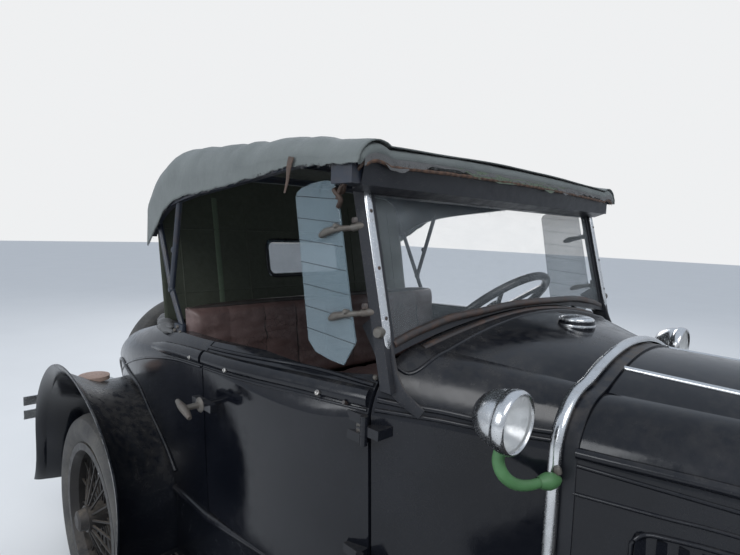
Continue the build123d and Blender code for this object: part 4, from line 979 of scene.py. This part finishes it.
def seats():
    """Pads for the bench and the rumble seat, and the rim and cracks of the bench's back."""
    front = pad_surface((-0.592, 0.618, 0.870), (1.184, 0, 0), (0, 0.036, 0.284), (0, -0.04, 0), 210, 60, 9,
        1.0, "seat", "seat_back_pad", "seat_back", 0.035)
    trim = Piece("seat_back_trim")
    rim = [Vector((-0.588 + 1.176 * k / 60, 0.650, 1.153 - 0.012 * abs(2 * k / 60 - 1) ** 8))
        for k in range(61)]
    trim.add(tube(rim, 0.0115, 12, [1 + 0.08 * wobble(k * 0.5, 1, 5) for k in range(61)]), "seat_rim")
    for k, (seam, v0, v1) in enumerate(((2, 0.35, 0.97), (3, 0.10, 0.90), (4, 0.30, 0.85), (5, 0.05, 0.95),
            (6, 0.2, 0.7), (8, 0.3, 0.9))):
        line = []
        for i in range(31):
            v = v0 + (v1 - v0) * i / 30
            line.append(front(seam / 9 + 0.006 * wobble(v * 9, k, 1.0) + 0.003 * wobble(v * 40, k, 2.0), v)
                + Vector((0, -0.0006, 0)))
        trim.add(sweep(line, half_round(0.0042, 0.0012), outs=Vector((0, -1, 0)),
            scales=[0.25 + 1.0 * math.sin(math.pi * i / 30) * (0.8 + 0.5 * wobble(i * 0.9, k, 3))
            for i in range(31)]), "seat_rim")
    trim.make()
    stuffed("seat_cushion", "seat_cushion_pad")
    stuffed("rumble_seat_cushion", "rumble_cushion_pad")
    stuffed("rumble_seat_back", "rumble_back_pad", "rumble_body")


# body trim
SCREW = [(0.0001, 0.0055), (0.0035, 0.005), (0.006, 0.002), (0.0065, 0.0)]
STUD = [(0.0001, 0.006), (0.0028, 0.0055), (0.0032, 0.003), (0.0058, 0.002), (0.0062, -0.002)]


def body_lines():
    """Beads, studs, handle and hinges of each door."""
    for s, side in SIDES:
        door = tree_of("door_" + side)
        piece = Piece("door_trim_" + side, f"door_{side}_body")
        bead(piece, door, [(-0.143, 1.047), (0.066, 1.040), (0.255, 1.031), (0.421, 1.024)], s, 0.007, 0.003)
        # rolled top rail, and the lip above its groove
        bead(piece, door, [(-0.143, 1.071), (0.05, 1.0645), (0.23, 1.0575), (0.421, 1.050)], s, 0.041, 0.015,
            sides=12)
        bead(piece, door, [(-0.143, 1.0950), (0.0, 1.0905), (0.2, 1.0840), (0.421, 1.0765)], s, 0.011, 0.006)
        for y, z in ((-0.016, 1.052), (0.3026, 1.0405)):
            p, n_ = cast(door, (s * BESIDE, y, z), (-s, 0, 0))
            p = p + n_ * 0.011
            piece.add(revolve(STUD, p, n_, 14), "dull_chrome")
        p, n_ = cast(door, (s * BESIDE, -0.092, 1.050), (-s, 0, 0))
        piece.add(revolve([(0.0001, 0.0125), (0.004, 0.0125), (0.0045, 0.0)], p, n_, 12), "rusty_rail")
        door_handle(piece, door, s)
        for z in (0.720, 1.010):
            outside_hinge(piece, door, s, z)
        piece.make()


def door_handle(piece, tree, s):
    """T handle: escutcheon, stem, and a worn flattened bar."""
    p, n_ = cast(tree, (s * BESIDE, 0.355, 0.948), (-s, 0, 0))
    piece.add(revolve([(0.0001, 0.007), (0.013, 0.006), (0.018, 0.003), (0.020, 0.0)], p, n_, 20),
        "grey_iron")
    tip = p + n_ * 0.044
    piece.add(tube(rounded([p, p + n_ * 0.020, tip], 5), 0.0075, 12,
        [1.15 - 0.25 * k / 10 for k in range(11)]), "grey_iron")
    bar = [tip + Vector((0, -0.036, -0.015)), tip + Vector((0, -0.018, -0.007)), tip,
        tip + Vector((0, 0.018, 0.005)), tip + Vector((0, 0.036, 0.011))]
    line = rounded(bar, 6)
    n_l = len(line)
    piece.add(tube(line, 0.0098, 12, [0.55 + 0.5 * math.sin(math.pi * (k + 0.8) / (n_l + 0.6))
        for k in range(n_l)]), "grey_iron")


def outside_hinge(piece, tree, s, z, y=-0.132):
    """The leaf on the door: a narrow plate with its raised ribs, weathered to bare metal."""
    p, n_ = cast(tree, (s * BESIDE, y, z), (-s, 0, 0))
    piece.add(block(p + n_ * 0.002, (0.005, 0.020, 0.056), (0, 0, 0), 0.0012), "grey_iron")
    for k in range(5):
        piece.add(block(p + n_ * 0.0055 + Vector((0, 0, -0.022 + 0.011 * k)), (0.004, 0.016, 0.0045),
            (0, 0, 0), 0.001), "chassis")


def quarter_and_sill_lines():
    """Beads on the rear quarter, the cowl and the floor's edge."""
    for s, side in SIDES:
        rear, cowl = tree_of("body_rear"), tree_of("cowl", "fuel_tank")
        # rear quarter: belt lines run down into the fender
        piece = Piece("quarter_trim_" + side)
        bead(piece, rear, [(0.436, 1.023), (0.60, 1.010), (0.80, 0.975), (1.0, 0.922), (1.2, 0.855),
            (1.42, 0.765), (1.60, 0.665), (1.70, 0.605)], s, 0.008, 0.0035)
        pts, outs = side_line(rear, [(0.436, 1.049), (0.50, 1.046), (0.60, 1.038), (0.70, 1.028),
            (0.79, 1.016)], s, 6)
        piece.add(sweep(pts, half_round(0.040, 0.014, 12), outs, scales=[1 - 0.5
            * ease((k / len(pts) - 0.6) / 0.4) for k in range(len(pts))]), "black_paint")
        p, n_ = cast(rear, (s * BESIDE, 0.486, 1.039), (-s, 0, 0))
        piece.add(revolve(STUD, p + n_ * 0.011, n_, 14), "dull_chrome")
        piece.make()
        # cowl: a double bead runs forward to the band
        piece = Piece("cowl_trim_" + side)
        bead(piece, cowl, [(-0.158, 1.070), (-0.21, 1.063), (-0.263, 1.0585), (-0.331, 1.0485),
            (-0.408, 1.042), (-0.436, 1.040)], s, 0.013, 0.006)
        bead(piece, cowl, [(-0.158, 1.050), (-0.21, 1.046), (-0.263, 1.042), (-0.331, 1.0335),
            (-0.408, 1.0275), (-0.436, 1.0255)], s, 0.010, 0.0055)
        piece.make()
        # sill: a soft half-round under the door and the quarter
        sill = Piece("sill_bead_" + side)
        edge = tree_of("floor")
        bead(sill, edge, [(0.640, 0.593), (0.43, 0.593), (0.20, 0.593), (-0.05, 0.593), (-0.30, 0.593),
            (-0.43, 0.593)], s, 0.022, 0.012)
        sill.make()


def cowl_top():
    """Groove and cap on the cowl: the line that follows the windshield, and the two-tier filler cap."""
    tree = tree_of("cowl", "fuel_tank")
    piece = Piece("cowl_top_trim")
    plan = across([(-0.520, -0.150), (-0.505, -0.190), (-0.462, -0.205), (-0.380, -0.206), (-0.272, -0.204),
        (-0.15, -0.202)], (0.0, -0.201))
    pts, outs = top_line(tree, plan, 8)
    piece.add(sweep(pts, half_round(0.009, 0.0035), outs), "black_paint")
    plan = across([(-0.44, -0.168), (-0.30, -0.172), (-0.15, -0.173)], (0, -0.173))
    pts, outs = top_line(tree, plan, 10)
    piece.add(sweep(pts, half_round(0.016, 0.0035, 6), outs), "rusty_rail")
    piece.make()
    p, n_ = Vector((0, -0.31, 1.1865)), Vector((0, 0, 1))
    cap = Piece("filler_cap")
    cap.add(revolve([(0.044, -0.004), (0.046, 0.003), (0.045, 0.006), (0.040, 0.008), (0.037, 0.009),
        (0.0385, 0.012), (0.041, 0.014), (0.0415, 0.017), (0.040, 0.020), (0.033, 0.0235), (0.020, 0.026),
        (0.008, 0.027), (0.0002, 0.0272)], p, n_, 48), "chrome")
    for k in range(24):
        b = 2 * math.pi * k / 24
        cap.add(block(p + Vector((0.0413 * math.cos(b), 0.0413 * math.sin(b), 0.016)), (0.003, 0.003, 0.005),
            (0, 0, b), 0.0008), "chrome")
    cap.make()


def windshield_trim():
    """Bright strips with their screws on the posts, brackets and feet below, and the arched lower rail."""
    slant = math.radians(13.9)
    along_post = Vector((0, math.sin(slant), math.cos(slant)))
    out = Vector((0, -math.cos(slant), math.sin(slant)))
    posts = tree_of("windshield_posts")
    for s, side in SIDES:
        piece = Piece("post_trim_" + side)
        foot = cast(posts, (s * 0.553, -1.0, 1.188), (0, 1, 0))[0] + out * 0.0005
        head = foot + along_post * 0.318
        line = [foot - along_post * 0.016 + out * -0.004, foot, foot + along_post * 0.02] + [
            foot + along_post * (0.04 + 0.027 * k) for k in range(10)] + [head,
                head + along_post * 0.012 - out * 0.004]
        widths = [0.55, 0.92, 1.0] + [1.0] * 10 + [0.9, 0.6]
        piece.add(sweep(line, half_round(0.0215, 0.0045, 8, 0.004), outs=[out] * len(line), scales=widths),
            "chrome")
        for t in (0.048, 0.150, 0.268):
            c = foot + along_post * t + out * 0.0040
            piece.add(revolve([(0.0001, 0.0022), (0.003, 0.0018), (0.0045, 0.0)], c, out, 14), "rusty_rail")
        # hinge bracket and the curved foot that runs down into the cowl
        plan = [(s * 0.541, -0.110, 1.225), (s * 0.545, -0.150, 1.170), (s * 0.548, -0.176, 1.120),
            (s * 0.545, -0.205, 1.085), (s * 0.530, -0.245, 1.055)]
        line = rounded(plan, 8)
        section = [(-0.004, -0.022), (0.004, -0.022), (0.005, 0.018), (0.003, 0.024), (-0.003, 0.024),
            (-0.005, 0.018)]
        piece.add(sweep(line, section, outs=[Vector((0, -0.82, 0.55))] * len(line),
            scales=[1.25 - 0.7 * k / (len(line) - 1) for k in range(len(line))]), "frame_black")
        for y, z in ((-0.150, 1.156), (-0.168, 1.098), (-0.140, 1.110)):
            piece.add(revolve(SCREW, (s * 0.5535, y, z), (s, 0, 0), 12), "grey_iron")
        # pivot knuckle of the windshield frame
        piece.add(revolve([(0.0001, 0.016), (0.009, 0.015), (0.012, 0.010), (0.012, 0.0)],
            (s * 0.562, -0.158, 1.208), (s, -0.25, 0), 18), "grey_iron")
        piece.make()
    # lower rail along the glass
    rail = Piece("windshield_lower_rail")
    half = [(-0.529, -0.1605, 1.178), (-0.485, -0.1605, 1.190), (-0.442, -0.1605, 1.199),
        (-0.336, -0.1605, 1.2145), (-0.223, -0.1605, 1.2195)]
    line = across(half, (-0.025, -0.1605, 1.2265))
    rail.add(tube(rounded(line, 8), 0.0095, 14), "rusty_rail")
    rail.make()


def wind_wing(s, side):
    """Pane with dark lines that are painted reflections of the siding, a ground edge, and its two clamps."""
    piece = Piece("wind_wing_" + side)
    outline = [(-0.077, 1.127), (-0.030, 1.130), (0.017, 1.138), (0.043, 1.160), (0.066, 1.28), (0.088, 1.40),
        (0.103, 1.478), (0.098, 1.490), (0.080, 1.500), (0.045, 1.508), (0.011, 1.512), (-0.012, 1.512),
        (-0.030, 1.506), (-0.043, 1.481), (-0.070, 1.36), (-0.092, 1.26), (-0.112, 1.182)]
    x = s * 0.5825
    verts, faces = plate(outline, (x, 0, 0), (0, 1, 0), (s, 0, 0), 0.0042, 0.0012)
    if s < 0:   # the plate's second axis points down on this side
        verts = [Vector((v.x, v.y, -v.z)) if v.z < 0 else v for v in verts]
    # the pane's blue-grey tint is a painted reflection of sky and siding
    piece.add((verts, faces), "wing_glass_painted_reflection")
    piece.make(angle=30)
    trim = Piece("wing_clamps_and_painted_reflection_lines_" + side)
    # dark lines on the pane: painted reflections of the siding's shadow lines, drawn as thin dark beads
    for k in range(7):
        z = 1.478 - 0.049 * k
        lo, hi = -0.0435 - (1.48 - z) * 0.235, 0.103 - (1.48 - z) * 0.190
        pts = [Vector((x + s * 0.0048, lo + (hi - lo) * t / 6 + 0.002, z + 0.010 * t / 6 - 0.006))
            for t in range(7)]
        trim.add(sweep(pts, half_round(0.0011, 0.0004, 4, 0.0002), outs=Vector((s, 0, 0))), "frame_black")
    for y0, z0 in ((-0.062, 1.412), (-0.100, 1.238)):
        jaw = Vector((x + s * 0.002, y0 + 0.030, z0 - 0.004))
        post = Vector((s * 0.566, y0 - 0.012, z0 + 0.002))
        for k in (-1, 1):
            line = [jaw + Vector((s * 0.0065 * k, 0.036, -0.014)),
                jaw + Vector((s * 0.0080 * k, 0.012, -0.004)), jaw + Vector((s * 0.0065 * k, -0.016, 0.002)),
                post + Vector((0, 0.002, 0))]
            trim.add(tube(rounded(line, 6), 0.0072, 10, [0.75, 0.95, 1.1, 1.2, 1.25, 1.25, 1.2, 1.15, 1.1,
                1.05, 1.0, 0.95, 0.9, 0.9, 0.9, 0.85, 0.85, 0.8, 0.8]), "grey_iron")
        trim.add(revolve([(0.0001, 0.020), (0.005, 0.019), (0.0065, 0.016), (0.0065, 0.0)],
            jaw + Vector((s * -0.004, -0.018, 0.004)), (s, 0.1, 0.3), 12), "grey_iron")
        trim.add(tube(rounded([post + Vector((0, 0.004, 0)), post + Vector((-s * 0.004, -0.014, 0.004)),
            post + Vector((-s * 0.010, -0.030, 0.006))], 5), 0.0085, 12), "grey_iron")
        trim.add(revolve([(0.0001, 0.012), (0.006, 0.011), (0.0075, 0.008), (0.0075, 0.0)],
            post + Vector((0, -0.004, 0.010)), (0, 0.1, 1), 6), "rusty_rail")
    trim.make()


def cowl_lamp(s, side):
    """Bowl, bright rim, fluted lens, and the green curved arm with its foot on the band."""
    c = Vector((s * 0.500, -0.430, 1.086))
    axis = Vector((s * -0.01, -0.999, -0.03)).normalized()
    piece = Piece("cowl_lamp_" + side)
    # bowl from the back to the rim, then the rim's roll
    bowl = [(0.0002, -0.078), (0.014, -0.0765), (0.028, -0.071), (0.040, -0.060), (0.0485, -0.046),
        (0.0530, -0.032), (0.0545, -0.022), (0.0550, -0.017), (0.0570, -0.0155), (0.0585, -0.011),
        (0.0590, -0.004), (0.0582, 0.002), (0.0560, 0.006), (0.0530, 0.0075), (0.0510, 0.006),
        (0.0502, 0.002)]
    piece.add(revolve(bowl, c, axis, 56), "chrome")
    piece.add(revolve([(0.0500, -0.002), (0.040, -0.022), (0.024, -0.040), (0.0002, -0.048)], c, axis, 40),
        "chrome")
    piece.add(revolve([(0.0001, -0.028), (0.006, -0.026), (0.008, -0.020), (0.006, -0.012), (0.0001, -0.009)],
        c, axis, 16), "lens")
    piece.make(angle=50)
    lens = Piece("cowl_lens_" + side)
    d, u_, v_ = frame_of(axis)
    r = 0.0512

    def glass(i, j):
        b, q = 2 * math.pi * i, r * j
        x_, y_ = q * math.cos(b), q * math.sin(b)
        flute = 0.0007 * math.cos(x_ * 2 * math.pi / 0.0052) * (1 if q < r * 0.96 else 0)
        return c + u_ * x_ + v_ * y_ + d * (0.0030 + 0.0035 * (1 - j * j) + flute)

    lens.add(grid(glass, 72, 26), "lens")
    lens.make(angle=180)
    arm = Piece("cowl_lamp_arm_" + side)
    path_ = [(s * 0.500, -0.405, 1.038), (s * 0.503, -0.402, 1.010), (s * 0.497, -0.410, 0.985),
        (s * 0.478, -0.422, 0.967), (s * 0.450, -0.434, 0.959), (s * 0.420, -0.443, 0.958),
        (s * 0.398, -0.450, 0.957)]
    line = rounded(path_, 8)
    k_ = len(line)
    arm.add(tube(line, 0.0105, 16, [1.0 + 0.10 * math.sin(6 * i / k_) for i in range(k_)]), "green_paint")
    root = Vector((s * 0.383, -0.458, 0.957))
    heading = (Vector(path_[-2]) - root).normalized()
    arm.add(revolve([(0.0001, -0.008), (0.006, -0.006), (0.0115, 0.002), (0.0150, 0.012), (0.0165, 0.022),
        (0.0150, 0.031), (0.0118, 0.039), (0.0105, 0.045)], root, heading, 28), "green_paint")
    arm.add(revolve([(0.0001, 0.014), (0.006, 0.013), (0.008, 0.009), (0.008, 0.0)],
        root + Vector((0, 0, 0.012)), (0.1 * s, 0.2, 1), 8), "grey_iron")
    arm.make(replaces=("cowl_lamps",) if s < 0 else ())


def fender_beads():
    """The bead where each rear fender meets the body."""
    for s, side in SIDES:
        piece = Piece("fender_bead_" + side)
        run = [(1.60, 0.690), (1.50, 0.770), (1.38, 0.835), (1.24, 0.868), (1.094, 0.857), (0.95, 0.842),
            (0.826, 0.777), (0.712, 0.711), (0.637, 0.648)]
        pts, outs = side_line(tree_of("body_rear"), run, s, 6)
        lifted = [p + n_ * 0.002 for p, n_ in zip(pts, outs)]
        piece.add(sweep(lifted, circle(0.0055, 8), outs), "fender_paint")
        piece.make()


def step_pad():
    """The ringed rubber on top of the step."""
    (x0, y0, _), (x1, y1, z1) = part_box("step_pad")
    c = Vector(((x0 + x1) / 2, (y0 + y1) / 2, z1))
    pad = Piece("step_pad_top")
    profile = [(0.0445, -0.016), (0.0490, -0.010), (0.0495, -0.004), (0.0470, -0.0005), (0.0440, 0.0006),
        (0.0430, -0.0012), (0.0400, -0.0012), (0.0385, 0.0008), (0.0300, 0.0018), (0.0290, 0.0004),
        (0.0262, 0.0004), (0.0250, 0.0022), (0.0150, 0.0028), (0.0140, 0.0014), (0.0112, 0.0014),
        (0.0100, 0.0030), (0.0002, 0.0032)]
    pad.add(revolve(profile, c, (0, 0.02, 1), 48), "pad")
    pad.make(angle=60)


def boot_folds():
    """Cloth bunched on the body's rear edge below the curtain, and the fittings at the feet of the bows."""
    piece = Piece("boot_folds")
    for k, (lift, back, thick) in enumerate(((0.000, 0.000, 0.020), (0.012, 0.022, 0.017),
            (-0.006, 0.040, 0.016))):
        route = across([(-0.612, 0.700, 1.070), (-0.600, 0.775, 1.076), (-0.560, 0.825, 1.088),
            (-0.420, 0.842, 1.108)], (0.0, 0.850, 1.122))
        line = rounded([(x * (1 - 0.01 * k), y + back, z + lift) for x, y, z in route], 14)
        count = len(line)
        line = [p + Vector((0, 0.004 * wobble(i * 0.25, k, 1), 0.005 * wobble(i * 0.21, k, 6))) for i,
            p in enumerate(line)]
        section = [(a * 1.35, b * 0.8) for a, b in circle(thick, 14)]
        piece.add(sweep(line, section, scales=[(0.25 + 0.75 * ease(min(i, count - 1 - i) / 14))
            * (1 + 0.16 * wobble(i * 0.5, k * 3, 2)) for i in range(count)]), "boot")
    piece.make(angle=180)
    feet = Piece("bow_feet")
    for s in (-1, 1):
        feet.add(block((s * 0.6035, 0.668, 1.086), (0.010, 0.058, 0.034), (0, 0, 0), 0.003), "bow_iron")
        for y, z in ((0.650, 1.080), (0.688, 1.080), (0.668, 1.094)):
            feet.add(revolve([(0.0001, 0.006), (0.005, 0.0055), (0.0065, 0.002), (0.0065, 0)],
                (s * 0.608, y, z), (s, 0, 0), 10), "grey_iron")
        for p in ((s * 0.600, 0.731, 1.203), (s * 0.604, 0.700, 1.330)):
            feet.add(revolve([(0.0001, 0.011), (0.008, 0.010), (0.011, 0.006), (0.011, -0.006),
                (0.0001, -0.010)], p, (s, 0, 0), 14), "bow_iron")
    feet.make()


HEADLAMP, TAIL_LAMP = (0.330, -1.680, 0.840), (-0.470, 1.7722, 0.612)


def front_lamps():
    """Headlamp rims and fluted lenses, and the tail lamp's red lens."""
    for s, side in SIDES:
        c = Vector((s * HEADLAMP[0], HEADLAMP[1], HEADLAMP[2]))
        rim = Piece("headlamp_rim_" + side)
        rim.add(revolve([(0.1075, -0.012), (0.1110, -0.006), (0.1115, 0.002), (0.1085, 0.008),
            (0.1030, 0.010), (0.1000, 0.007), (0.0995, 0.002)], c, (0, -1, 0), 64), "chrome")
        rim.make(angle=60)
        lens = Piece("headlamp_lens_" + side)

        def glass(i, j, c=c):
            b, q = 2 * math.pi * i, 0.1000 * j
            x_, z_ = q * math.cos(b), q * math.sin(b)
            return c + Vector((x_, -0.0035 - 0.006 * (1 - j * j) - 0.0008
                * math.cos(x_ * 2 * math.pi / 0.010), z_))

        lens.add(grid(glass, 96, 28), "headlamp_glass")
        lens.make(angle=180)
    tail = Piece("tail_lamp_lens")
    tail.add(revolve([(0.041, 0.0), (0.040, 0.004), (0.030, 0.009), (0.015, 0.012), (0.0002, 0.013)],
        TAIL_LAMP, (0, 1, 0), 40), "red_lens")
    tail.make(angle=60)


TREAD_STEPS = 120
RIB_ACROSS = (-0.034, -0.018, 0.0, 0.018, 0.034)


def tread():
    """Zigzag ribs round each of the four tyres on the ground."""
    for name in ("front_left", "front_right", "rear_left", "rear_right"):
        (x0, y0, z0), (x1, y1, z1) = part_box("tyre_" + name)
        cx, cy, cz, radius = (x0 + x1) / 2, (y0 + y1) / 2, (z0 + z1) / 2, (z1 - z0) / 2
        piece = Piece("tread_" + name, "wheel_" + name + "_body")
        for off in RIB_ACROSS:
            drop = 0.55 * off * off / 0.062
            line, outs = [], []
            for i in range(TREAD_STEPS):
                b = 2 * math.pi * i / TREAD_STEPS
                out = Vector((0, math.cos(b), math.sin(b)))
                line.append(Vector((cx + off + (0.0028 if i % 2 else -0.0028), cy, cz)) + out
                    * (radius - drop - 0.0012))
                outs.append(out)
            piece.add(sweep(line, [(-0.0045, -0.004), (0.0045, -0.004), (0.0038, 0.0014), (-0.0038, 0.0014)],
                outs, closed=True), "tyre")
        piece.make(angle=30)


def cabin_parts():
    """Mat on the floor, gauges on the dash, ribs on the running boards, fins of the radiator core."""
    mat = Piece("floor_mat")

    def rubber_mat(u, v):
        x, y = -0.50 + 1.0 * u, -0.30 + 0.39 * v
        return Vector((x, y, 0.6085 + 0.0015 * math.sin(y * 400) + 0.002 * wobble(x * 6, y * 6, 1)))

    mat.add(grid(rubber_mat, 40, 60), "tyre")
    mat.make(angle=60, thick=0.003)
    dash = Piece("dash_gauges")
    for x, z, size in ((0.0, 1.105, 0.040), (-0.095, 1.100, 0.024), (0.095, 1.100, 0.024),
            (-0.16, 1.070, 0.012), (0.16, 1.070, 0.012)):
        c = (x, -0.1328, z)
        dash.add(revolve([(size + 0.006, 0.0), (size + 0.005, 0.005), (size + 0.001, 0.006), (size, 0.002),
            (0.0002, 0.002)], c, (0, 1, 0), 32), "dull_chrome")
        dash.add(revolve([(size * 0.92, 0.0026), (0.0002, 0.0026)], c, (0, 1, 0), 32), "rim_black")
        dash.add(block((x + size * 0.25, -0.1290, z + size * 0.25), (size * 0.9, 0.001, 0.0016),
            (0, -0.78, 0), 0.0003), "chrome")
    dash.make(angle=50)
    ribs = Piece("board_ribs")
    for s in (-1, 1):
        for k in range(13):
            x = s * (0.640 + 0.0145 * k)
            ribs.add(block((x, 0.020, 0.3942), (0.005, 1.19, 0.0035), (0, 0, 0), 0.0008), "tyre")
    ribs.make(angle=50)
    core = Piece("radiator_fins")
    (x0, y0, z0), (x1, _, z1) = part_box("radiator_core")
    for k in range(44):
        z = z0 + 0.02 + (z1 - z0 - 0.10) * k / 43
        core.add(block(((x0 + x1) / 2, y0 - 0.0015, z), (x1 - x0 - 0.03, 0.004, 0.0022), (0, 0, 0), 0.0005),
            "brass_core")
    for k in range(27):
        x = x0 + 0.02 + (x1 - x0 - 0.04) * k / 26
        core.add(block((x, y0 - 0.0025, (z0 + z1) / 2 - 0.03), (0.0028, 0.004, z1 - z0 - 0.10), (0, 0, 0),
            0.0005), "brass_core")
    core.make(angle=50)


def hood_trim():
    """Bright strips over the hinge rods, and the beads on the hood's sides and tops."""
    for s, side in SIDES:
        strip = Piece("hood_strip_" + side)
        pts, outs = [], []
        for k in range(25):
            t = k / 24
            y = -0.484 - 0.916 * t
            pts.append(Vector((s * 0.1535, y, 1.1375 - 0.0166 * t)))
            outs.append(Vector((s * 0.12, 0, 1)))
        strip.add(sweep(pts, half_round(0.0125, 0.0055, 8, 0.003), outs), "chrome")
        strip.make()
        panel = tree_of("hood_side_" + side)
        trim = Piece("hood_side_trim_" + side, f"hood_side_{side}_body")
        bead(trim, panel, [(-0.482, 0.934), (-0.548, 0.9375), (-0.636, 0.9425), (-0.729, 0.949),
            (-1.05, 0.958), (-1.400, 0.962)], s, 0.0075, 0.0035)
        bead(trim, panel, LOUVRE_BORDER, s, 0.009, 0.004, steps=3, lift=0.001)
        trim.make()
        top = Piece("hood_top_bead_" + side, f"hood_{side}_body")
        bead(top, tree_of("hood_top_" + side), [(-0.482, 1.012), (-0.542, 1.0135), (-0.63, 1.0165),
            (-0.723, 1.019), (-1.05, 1.023), (-1.400, 1.025)], s, 0.021, 0.010, sides=12)
        top.make()


# y, z round the raised border of the louvres
LOUVRE_BORDER = [(-0.583, 0.700), (-0.583, 0.860), (-0.585, 0.880), (-0.594, 0.896), (-0.608, 0.903),
    (-0.628, 0.907), (-0.731, 0.916), (-1.00, 0.922), (-1.270, 0.924), (-1.292, 0.918), (-1.302, 0.900),
    (-1.302, 0.700)]


BAND_MID = -0.4465


def cowl_band():
    """Half-round bright band over the cowl's front edge, and the dark ledge that the hood rests on."""
    side = [(0.3760, 0.610), (0.3760, 0.80), (0.3770, 1.000)]
    shoulder = arc3((0.378, 1.006), (0.352, 1.070), (0.254, 1.1175), 14)
    crown = arc3((0.254, 1.1175), (0, 1.170), (-0.254, 1.1175), 30)
    half = side + shoulder[:-1] + crown[:16]
    path_ = half + [(-x, z) for x, z in reversed(half[:-1])]
    line = rounded([(x, BAND_MID, z) for x, z in path_], 2)
    for _ in range(10):
        line = [line[0]] + [(a + b * 2 + c) / 4 for a, b, c in zip(line, line[1:], line[2:])] + [line[-1]]
    outs = []
    for i, p in enumerate(line):
        d = line[min(i + 1, len(line) - 1)] - line[max(i - 1, 0)]
        out = Vector((d.z, 0, -d.x)).normalized()
        outs.append(out if out.dot(p - Vector((0, BAND_MID, 0.9))) > 0 else -out)
    band = Piece("cowl_band_strip")
    band.add(sweep(line, half_round(0.026, 0.008, 12, 0.003), outs), "chrome")
    band.make(replaces=("cowl_band",))
    ledge = Piece("hood_ledge")
    inner = [p + Vector((0, -0.019, 0)) - o * 0.009 for p, o in zip(line, outs)]
    ledge.add(sweep(inner, [(-0.020, -0.003), (0.020, -0.003), (0.020, 0.001), (-0.020, 0.001)], outs),
        "frame_black")
    ledge.make()


top_cover()
frayed_edge()
header_face()
hanging_bits()
rear_curtain()
seats()
body_lines()
quarter_and_sill_lines()
cowl_top()
windshield_trim()
fender_beads()
step_pad()
hood_trim()
cowl_band()
boot_folds()
front_lamps()
tread()
cabin_parts()
for s, side in SIDES:
    wind_wing(s, side)
    cowl_lamp(s, side)
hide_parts("wind_wings")

# floor, world and lights
FLOOR_HALF = 40
floor_mesh = bpy.data.meshes.new("studio_floor")
floor_mesh.from_pydata([(a * FLOOR_HALF, b * FLOOR_HALF, 0) for a, b in ((-1, -1), (1, -1), (1, 1), (-1, 1))],
    [], [(0, 1, 2, 3)])
floor = bpy.data.objects.new("studio_floor", floor_mesh)
SCENE.collection.objects.link(floor)
n = Nodes("studio_floor")
n.colour(n.mix(n.noise(1.2, 4, 0.6), (0.66, 0.66, 0.655), (0.71, 0.71, 0.705)))
n.set(Roughness=0.75)
floor_mesh.materials.append(n.mat)

world = bpy.data.worlds.new("studio")
SCENE.world = world
world.use_nodes = True
tree = world.node_tree
background = tree.nodes["Background"]
sky, height, tone, lift, seen, path, either, choose = (tree.nodes.new("ShaderNode" + kind) for kind in (
    "TexCoord", "SeparateXYZ", "ValToRGB", "MapRange", "Background", "LightPath", "Math", "MixShader"))
for item, (place, colour) in zip(tone.color_ramp.elements, ((0.30, (0.62, 0.63, 0.65)),
        (0.80, (0.78, 0.87, 1.0)))):
    item.position = place
    item.color = (*colour, 1)
lift.inputs["From Min"].default_value = -1.0
background.inputs["Strength"].default_value = 0.78
seen.inputs["Color"].default_value = (0.86, 0.87, 0.88, 1)
either.operation = "MAXIMUM"
for source, sink in (
        (sky.outputs["Generated"], height.inputs[0]),
        (height.outputs["Z"], lift.inputs["Value"]),
        (lift.outputs["Result"], tone.inputs["Fac"]),
        (tone.outputs["Color"], background.inputs["Color"]),
        (path.outputs["Is Camera Ray"], either.inputs[0]),
        (path.outputs["Is Transmission Ray"], either.inputs[1]),
        (either.outputs[0], choose.inputs[0]),
        (background.outputs[0], choose.inputs[1]),
        (seen.outputs[0], choose.inputs[2]),
        (choose.outputs[0], tree.nodes["World Output"].inputs[0])):
    tree.links.new(source, sink)


def lamp(name, place, target, size, energy, colour=(1, 1, 1)):
    data = bpy.data.lights.new(name, "AREA")
    data.shape = "RECTANGLE"
    data.size, data.size_y = size
    data.energy = energy
    data.color = colour
    obj = bpy.data.objects.new(name, data)
    obj.location = place
    obj.rotation_euler = (Vector(target) - Vector(place)).to_track_quat("-Z", "Y").to_euler()
    SCENE.collection.objects.link(obj)


lamp("key", (-3.0, -4.5, 6.0), (0, 0, 0.9), (5, 3), 260)
lamp("side", (-6.5, 1.5, 3.2), (0, 0.3, 0.9), (4, 2.4), 150, (0.94, 0.97, 1))
lamp("back", (4.5, 5.0, 4.6), (0, 0.3, 1.0), (4, 3), 150)
